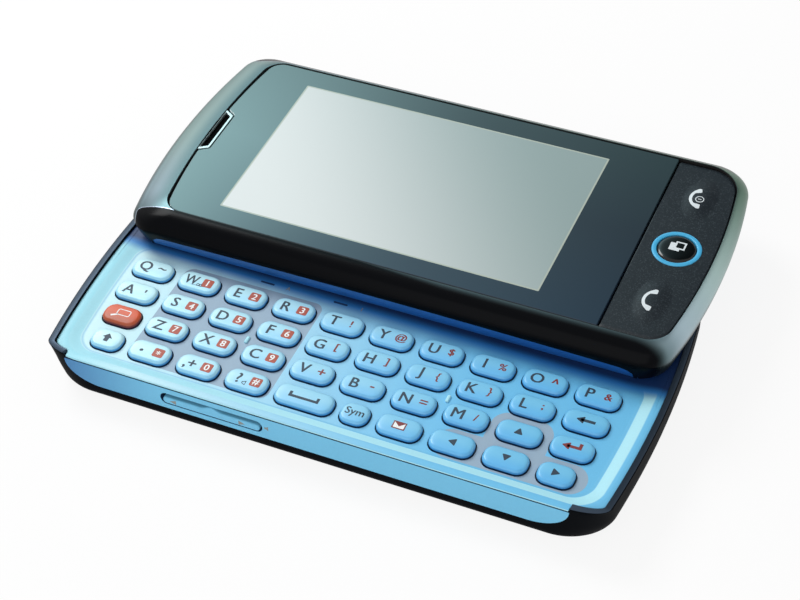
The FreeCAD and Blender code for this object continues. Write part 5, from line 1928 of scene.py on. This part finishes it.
    def cover(self) -> Object:
        """Battery cover: a lofted plate whose free end carries the hull's own foot.

        At every level the end follows the hull's outline, so the closed cover shows one
        thin seam, and it slides out without touching the wall. Four ribs give grip.
        """
        low, high = extent("battery_cover")
        side = self.cover_half
        y = np.linspace(-side, side, 41)
        rows = []
        for z in (low[2] + 0.05, *self.cover_levels, high[2]):
            hull = self.row(self.outline(), z)
            hull = hull[hull[:, 0] > self.cover_end_from]
            hull = hull[np.argsort(hull[:, 1])]
            end = np.interp(y, hull[:, 1], hull[:, 0]) - self.cover_tuck
            flat = np.concatenate([[(low[0], -side)], np.stack([end, y], axis=-1),
                                   [(low[0], side)]])
            rows.append(np.column_stack([flat, np.full(len(flat), z)]))
        ribs = [soften(prism("rib", [rounded(x, 0.0, *self.rib_half, 0.24, 3)], low[2],
                             low[2] + self.rib_rise), 0.05, 2, False)
                for x in self.ribs_x]
        piece = to_object("battery_cover_panel", combine("cover", [
            (loft("cover_plate", rows, cap_rows=True), 0), *((rib, 0) for rib in ribs)]),
            [COVER], "battery_cover", 30)
        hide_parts("battery_cover")
        return piece

    def bottom(self) -> Mesh:
        """Floor plate with the openings for the camera and the speaker; build cuts the
        cover's opening.
        """
        outline = self.row(self.outline(), 0.0, 0.5)[:, :2]
        low, high = extent("camera_module")
        angle = np.linspace(0, 2 * math.pi, 48, endpoint=False)
        eye = np.stack([np.cos(angle), np.sin(angle)], axis=-1) * self.eye_radius \
            + (low[:2] + high[:2]) / 2
        slots = [rounded(self.slot_x, y, *self.slot_half, 0.48, 5) for y in self.slots_y]
        return soften(prism("housing_floor", [outline, eye, *slots], 0.0, self.floor),
                      0.12, 2, False)

    def build(self) -> Object:
        """Joins the wall and the floor, and opens the charging socket's window."""
        x, y, z = self.socket
        cutter = prism("socket_window", [rounded(x, 0.0, *self.socket_half, 1.0, 5)],
                       0.0, 6.0)
        cutter.transform(Matrix.Translation(Vector((0, y, z)) * MM)
                         @ Matrix.Rotation(math.radians(-90), 4, "X"))
        low, high = extent("battery_cover")
        left, right = low[0] - self.cover_gap, self.cover_end
        side = self.cover_half + self.cover_gap
        recess = prism("cover_recess", [np.array([(left, -side), (right, -side),
                                                  (right, side), (left, side)])],
                       -1.0, high[2] + 0.04)
        mesh = combine("housing", [(cut_out(self.wall(), cutter, recess), 0),
                                   (cut_out(self.bottom(), recess), 0)])
        piece = to_object("rear_housing_shell", mesh, [HOUSING, LIT_LIP_TOP],
                          KEYBOARD_HALF, 24)
        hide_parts("rear_housing")
        return piece


@dataclass
class Deck:
    """Coloured deck: the tray that the keys stand in, its rim and the front wall."""

    phone: Phone
    housing: "Housing"
    keys: list[KeyCap]
    floor: float = 7.83
    floor_thick: float = 0.7
    end_band: float = 5.6
    front_band: float = 3.4
    tray_back: float = 3.6
    slope: float = 2.5
    end_slope: float = 3.2
    tray_corner: float = 3.5
    lip: float = 1.47
    lip_corner: Pair = (5.5, 1.9)
    key_gap: float = 0.2
    groove: float = 0.25
    wall_foot: float = 3.5
    wall_thick: float = 1.2
    behind_lips: float = 1.2
    sign_y: float = 2.95

    def tray_outline(self, grow: float = 0.0) -> Array:
        """Rounded outline of the tray's floor, its ends bowed like the phone's."""
        outline = Perimeter.make(np.linspace(0, 1, 9), 12, 10)
        half = self.phone.half_length - self.end_band + grow
        flat = outline.draw(-half, half, self.phone.deck_front + self.front_band - grow,
                            self.tray_back + grow, self.tray_corner)
        return self.phone.bowed(flat, base=True)[:, :2]

    def tray(self) -> Mesh:
        """Floor plate with a rounded hole for every key."""
        outline = Perimeter.make(np.linspace(0, 1, 2), 1, 6)
        holes = []
        for key in self.keys:
            half = key.half + self.key_gap
            hole = outline.draw(-half[0], half[0], -half[1], half[1],
                                key.corner + self.key_gap)
            holes.append(hole + key.middle)
        plate = prism("tray", [self.tray_outline(0.3), *holes],
                      self.floor - self.floor_thick, self.floor)
        # The holes' walls take the painted gap shade.
        return mark_walls(soften(plate, 0.1, 2), 2)

    def ring(self) -> Mesh:
        """Slope, rim and outer edge round the tray, lofted as one closed ring.

        Every column joins the tray's outline to the deck's own, and the slope between
        them is a smooth step.
        """
        phone = self.phone
        half = phone.half_length - self.end_band
        reach = phone.half_length - self.lip
        outline = Perimeter.make(np.linspace(0, 1, 97), 14, 60)
        front = phone.deck_front + self.front_band

        def row(reach: float, front_y: Array, back_y: float, corner: float, z: float,
                deep: float | None = None) -> Array:
            """One row: the outline at this half length, front, back and height."""
            flat = outline.draw(-reach, reach, front_y, back_y, corner, deep)
            return phone.bowed(flat, z, True)

        rows = [row(half, front, self.tray_back, self.tray_corner,
                    self.floor - self.floor_thick)]
        for share in np.linspace(0, 1, 9):
            rise = share ** 2 * (3 - 2 * share)
            out = self.slope * share
            rows.append(row(half + self.end_slope * share, front - out,
                            self.tray_back + out,
                            self.tray_corner + share * 0.8,
                            self.floor + (phone.deck_rim - self.floor) * rise))
        behind_lips = phone.deck_front + self.behind_lips
        plain = row(reach, behind_lips, 0.0, self.lip_corner[0], 0.0, self.lip_corner[1])
        beside = np.abs(plain[:, 0] - self.housing.lip_shift)
        wall = (beside < self.housing.lip_reach - 0.03) \
            & (plain[:, 1] < behind_lips + 1.0)
        edge_y = np.where(wall, phone.deck_front + 0.02, behind_lips)
        _, high = extent("keypad_deck")
        wide, deep = self.lip_corner
        codes = [0] * len(rows)
        for inset, drop in ((0.3, 0.0), (0.14, 0.02), (0.04, 0.07), (0.0, 0.14),
                            (0.0, 0.25), (0.3, 0.3), (0.3, 1.4)):
            rows.append(row(reach - inset, edge_y + inset, high[1] - inset, wide - inset,
                            phone.deck_rim - drop, deep - inset))
            # The lowest rows, under the rim's edge, take the painted gap shade.
            codes.append(2 if drop > 0.24 else 0)
        return loft("deck_ring", rows, codes, wrap_rows=True)

    def face_y(self, z: Array) -> Array:
        """Outer face of the near side at a height, which the housing sets."""
        return self.housing.inset(z) - self.phone.half_width

    def stand(self, mesh: Mesh) -> Mesh:
        """Stands a flat plate up against the near side, its top facing outwards."""
        x, z, out = points_of(mesh).T
        return put_points(mesh, np.stack([x, self.face_y(z) - out, z], axis=-1))

    def front_wall(self, rocker: "Rocker") -> Mesh:
        """Front wall with rounded lower corners and the rocker's hole."""
        top = self.phone.deck_rim - 0.2 - self.groove
        end, wide = self.housing.lip_reach - 0.05, self.housing.cut_wide
        turn = np.linspace(0, math.pi / 2, 16)
        rise = self.housing.cut_tall * (1 - np.cos(turn))
        corner = np.stack([end - wide * (1 - np.sin(turn)), self.wall_foot + rise], -1)
        columns = np.linspace(-end + wide, end - wide, 13)[1:-1]
        low_edge = np.stack([columns, np.full(len(columns), self.wall_foot)], axis=-1)
        outline = np.concatenate([corner[::-1] * (-1, 1), low_edge, corner,
                                  [(end, top), (-end, top)]])
        outline[:, 0] += self.housing.lip_shift
        plate = prism("front_wall", [outline, rocker.outline(rocker.gap)],
                      -self.wall_thick, 0.0)
        # Its walls, the rocker hole's among them, take the painted gap shade once joined
        # to the deck.
        return self.stand(mark_walls(soften(plate, 0.18, 3), 1))

    def ridges(self) -> list[Mesh]:
        """Small raised bars beside the F and J keys, for finding them by touch."""
        keys = {key.label: key for key in self.keys}
        bars = [rounded(0.0, 0.0, 0.32, 0.8, 0.26) + keys[label].middle + beside
                for label, beside in (("f", (-4.6, -3.05)), ("j", (4.9, -3.05)))]
        return [soften(prism("ridge", [bar], self.floor - 0.1, self.floor + 0.35), 0.2, 3)
                for bar in bars]

    def signs(self) -> list[tuple[Mesh, int]]:
        """Two dark indicator windows on the tray's far band, each with a small sign."""
        made = []
        for x, text in ((-22.4, "A"), (-8.1, "1")):
            bar = rounded(x, self.sign_y, 1.35, 0.2, 0.18)
            made.append((prism("window", [bar], self.floor - 0.05, self.floor + 0.03), 2))
            sign = lettering(text, 0.9, 0.05)
            sign.transform(Matrix.Translation(Vector((x + 4.1, self.sign_y,
                                                      self.floor + 0.01)) * MM))
            made.append((sign, 3))
        speaker = np.array([(-0.5, -0.2), (-0.15, -0.2), (0.2, -0.5), (0.2, 0.5),
                            (-0.15, 0.2), (-0.5, 0.2)]) + (-8.1, 5.9)
        made.append((self.stand(prism("speaker_sign", [speaker], -0.01, 0.015)), 3))
        return made

    def build(self, rocker: "Rocker") -> Object:
        """Joins the tray, its ring, the front wall, the touch ridges and the signs.

        Args:
            rocker: the volume rocker that the front wall makes room for.
        """
        mesh = combine("keyboard_deck", [
            (self.tray(), 0), (self.ring(), 0), (self.front_wall(rocker), 1),
            *((ridge, 0) for ridge in self.ridges()), *self.signs()])
        piece = to_object("keyboard_deck", mesh, [DECK, FRONT_WALL,
                                                  GAP_SHADE_AND_WINDOWS, GREY_INK],
                          KEYBOARD_HALF, 35)
        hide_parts("keypad_deck")
        return piece


@dataclass
class Rocker:
    """Volume rocker: a waisted bar in the front wall."""

    x: float = -18.7
    z: float = 5.7
    half_length: float = 9.5
    half_height: float = 1.0
    cut: float = 0.62
    hump_half: float = 2.0
    gap: float = 0.2
    thick: float = 0.8
    proud: float = 0.08

    def end(self, radius: float, drop: float) -> Array:
        """Half circle at the right end, its centre this much below the middle."""
        turn = np.linspace(-math.pi / 2, math.pi / 2, 13)
        return np.stack([self.half_length - self.half_height + radius * np.cos(turn),
                         radius * np.sin(turn) - drop], axis=-1)

    def outline(self, grow: float = 0.0) -> Array:
        """Stadium outline of the hole, larger all round by this much."""
        right = self.end(self.half_height + grow, 0.0)
        return np.concatenate([right, -right]) + (self.x, self.z)

    def bar_outline(self) -> Array:
        """The bar's outline: its top is cut down, with a cosine hump in the middle."""
        right = self.end(self.half_height - self.cut / 2, self.cut / 2)
        run = np.linspace(self.hump_half, -self.hump_half, 15)
        hump = 0.5 + 0.5 * np.cos(run / self.hump_half * math.pi)
        top = np.stack([run, self.half_height - self.cut * (1 - hump)], axis=-1)
        left = right[::-1] * (-1, 1)
        return np.concatenate([right, top, left]) + (self.x, self.z)

    def build(self, deck: Deck) -> Object:
        """Makes the bar with softened edges and its two arrow marks.

        Args:
            deck: the deck, whose front face the bar follows.
        """
        bar = deck.stand(soften(prism("rocker", [self.bar_outline()], -self.thick,
                                      self.proud), 0.22, 4))
        marks = []
        for side in (-1, 1):
            arrow = np.array([(0.7, 0.0), (-0.5, 0.45), (-0.5, -0.45)]) * (side, 1)
            flat = arrow + (self.x + side * 6.45 - 0.7, self.z - 0.3)
            marks.append((deck.stand(prism("rocker_mark", [flat], self.proud - 0.01,
                                           self.proud + 0.015)), 1))
        piece = to_object("volume_rocker_bar", combine("rocker", [(bar, 0), *marks]),
                          [FRONT_WALL, GREY_INK], "volume_rocker", 40)
        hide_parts("volume_rocker")
        return piece


# ---- studio --------------------------------------------------------------------------
@dataclass
class Studio:
    """Floor, light and camera round the phone.

    The card's brightness drops from one value to another between two places along x, and
    fades in from its left edge.
    """

    camera_place: tuple[float, float, float] = (104.68, -203.12, 241.78)
    camera_right: tuple[float, float, float] = (0.91526789, 0.4004385, -0.0439738)
    camera_up: tuple[float, float, float] = (-0.25475933, 0.65991432, 0.7068315)
    camera_back: tuple[float, float, float] = (0.31206149, -0.63573744, 0.70601384)
    focal_mm: float = 84.96
    lamps: tuple[tuple[str, tuple[float, float, float], float, float], ...] = (
        ("key_light", (-360, 200, 420), 240, 2.1),
        ("fill_light", (60, -420, 260), 500, 0.8))
    lit_point: tuple[float, float, float] = (0, 15, 8)
    floor_white: float = 0.88
    floor_half: float = 3000.0
    fill: float = 0.4
    card_tint: str = "#cdf7ff"
    card_drop: tuple[float, float, float, float] = (-330.0, 20.0, 2.6, 0.1)
    card_fade: tuple[float, float, float, float] = (-480.0, -340.0, 0.35, 1.0)
    card_half: Pair = (420.0, 230.0)
    card_distance: float = 500.0
    card_aim: tuple[float, float, float] = (-120.0, 15.0, 10.0)

    def camera(self) -> None:
        """Stands the camera where it sees the phone from above its near right corner."""
        lens = bpy.data.cameras.new("camera")
        lens.lens = self.focal_mm
        lens.sensor_width = 36.0
        lens.clip_start = 0.01
        holder = add_object("camera", lens)
        turn = Matrix((self.camera_right, self.camera_up, self.camera_back)).transposed()
        place = Matrix.Translation(Vector(self.camera_place) * MM)
        holder.matrix_world = place @ turn.to_4x4()
        bpy.context.scene.camera = holder

    def lamp(self, name: str, place: tuple[float, float, float], size: float,
             watts: float) -> None:
        """Square soft lamp aimed at the phone, its place and size in millimetres."""
        light = bpy.data.lights.new(name, "AREA")
        light.size = size * MM
        light.energy = watts
        holder = add_object(name, light)
        aim = Vector(place) - Vector(self.lit_point)
        holder.rotation_mode = "QUATERNION"
        holder.rotation_quaternion = aim.to_track_quat("Z", "Y")
        holder.location = Vector(place) * MM

    @staticmethod
    def sheet(name: str, corners: list[tuple[float, float, float]], material: Material
              ) -> Object:
        """A bare four-cornered sheet of one material, its corners in millimetres."""
        mesh = bpy.data.meshes.new(name)
        mesh.from_pydata((np.array(corners) * MM).tolist(), [], [[0, 1, 2, 3]])
        mesh.materials.append(material)
        return add_object(name, mesh)

    def card(self) -> None:
        """Graded reflector behind the phone: bright towards the left, dark to the right.

        It shows in gloss only, so it lights nothing.
        """
        made = bpy.data.materials.new("graded_reflector")
        tree = blank_tree(made)
        place = add_node(tree, "TexCoord")["Object"]
        x = add_node(tree, "SeparateXYZ", (place,))["X"]
        level, fade = (add_node(tree, "MapRange", (x, low * MM, high * MM, start, end),
                                interpolation_type="SMOOTHSTEP")[0]
                       for low, high, start, end in (self.card_drop, self.card_fade))
        strength = add_node(tree, "Math", (level, fade), operation="MULTIPLY")[0]
        glow = add_node(tree, "Emission", {"Strength": strength,
                                           "Color": linear(self.card_tint)})[0]
        add_node(tree, "OutputMaterial", (glow,))
        lean, rise = np.array([0.0, 0.72, 0.69]), np.array([0.0, -0.69, 0.72])
        middle = lean * self.card_distance + self.card_aim
        half_x, half_y = self.card_half
        board = self.sheet("graded_reflector", [
            middle + (sx * half_x, 0.0, 0.0) + rise * sy * half_y
            for sx, sy in ((-1, -1), (1, -1), (1, 1), (-1, 1))], made)
        board.visible_camera = False
        board.visible_diffuse = False
        board.visible_shadow = False

    @staticmethod
    def seen(tree: Tree) -> Socket:
        """Share that is 1 for the eye, in gloss and through glass, and 0 for light."""
        path = add_node(tree, "LightPath")
        share = path["Is Camera Ray"]
        for ray in ("Is Glossy Ray", "Is Transmission Ray"):
            share = add_node(tree, "Math", (share, path[ray]), operation="MAXIMUM")[0]
        return share

    def floor(self) -> None:
        """Plain white floor under the phone."""
        made = bpy.data.materials.new("white_paper_floor")
        tree = blank_tree(made)
        paper = add_node(tree, "BsdfPrincipled", {
            "Base Color": linear("#fafafa"), "Roughness": 0.9,
            "Specular IOR Level": 0.1})["BSDF"]
        white = add_node(tree, "Emission")["Emission"]
        share = add_node(tree, "Math", (self.seen(tree), self.floor_white),
                         operation="MULTIPLY")[0]
        mixed = add_node(tree, "MixShader", (share, paper, white))[0]
        add_node(tree, "OutputMaterial", (mixed,))
        half = self.floor_half
        ground = self.sheet("floor", [(-half, -half, 0), (half, -half, 0),
                                      (half, half, 0), (-half, half, 0)], made)

    def world(self) -> None:
        """White surroundings to the eye and in gloss, and a plain fill for the rest."""
        world = bpy.data.worlds.new("studio")
        bpy.context.scene.world = world
        tree = blank_tree(world)
        level = add_node(tree, "MapRange", (self.seen(tree), 0.0, 1.0, self.fill, 1.0))[0]
        back = add_node(tree, "Background", {"Strength": level,
                                             "Color": (1.0, 1.0, 1.0, 1.0)})[0]
        add_node(tree, "OutputWorld", (back,))

    def build(self) -> None:
        """Sets the whole studio up."""
        self.floor()
        self.world()
        self.camera()
        self.card()
        for name, place, size, watts in self.lamps:
            self.lamp(name, place, size, watts)


# ---- the whole phone -----------------------------------------------------------------
def dress_cad_nodes() -> None:
    """Gives the CAD nodes that stay as they are the finish of their real material."""
    for name, finish in CAD_FINISHES.items():
        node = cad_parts[name]
        if not node.material_slots:
            node.data.materials.append(finish.material())
        for slot in node.material_slots:
            slot.material = finish.material()


def main() -> None:
    """Builds the phone and the studio."""
    logging.basicConfig(level=logging.INFO, format="%(message)s")
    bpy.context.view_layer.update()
    bpy.context.scene.view_settings.view_transform = "Standard"
    phone = Phone.from_frame()
    dress_cad_nodes()
    shell = ScreenShell(phone)
    keys = [KeyCap(name) for name in sorted(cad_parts) if name.startswith("key_")]
    rocker = Rocker()
    housing = Housing(phone)
    deck = Deck(phone, housing, keys)
    pieces = [shell.build(), BackPanel(shell).build(), Window(phone).build(),
              EARPIECE.build(phone), *CallKeys(phone).build(), deck.build(rocker),
              rocker.build(deck), *(key.build() for key in keys), housing.build(),
              housing.cover()]
    for piece in pieces:
        LOG.info("%s: %d faces", piece.name, len(piece.data.polygons))
    Studio().build()


if __name__ == "__main__":
    main()
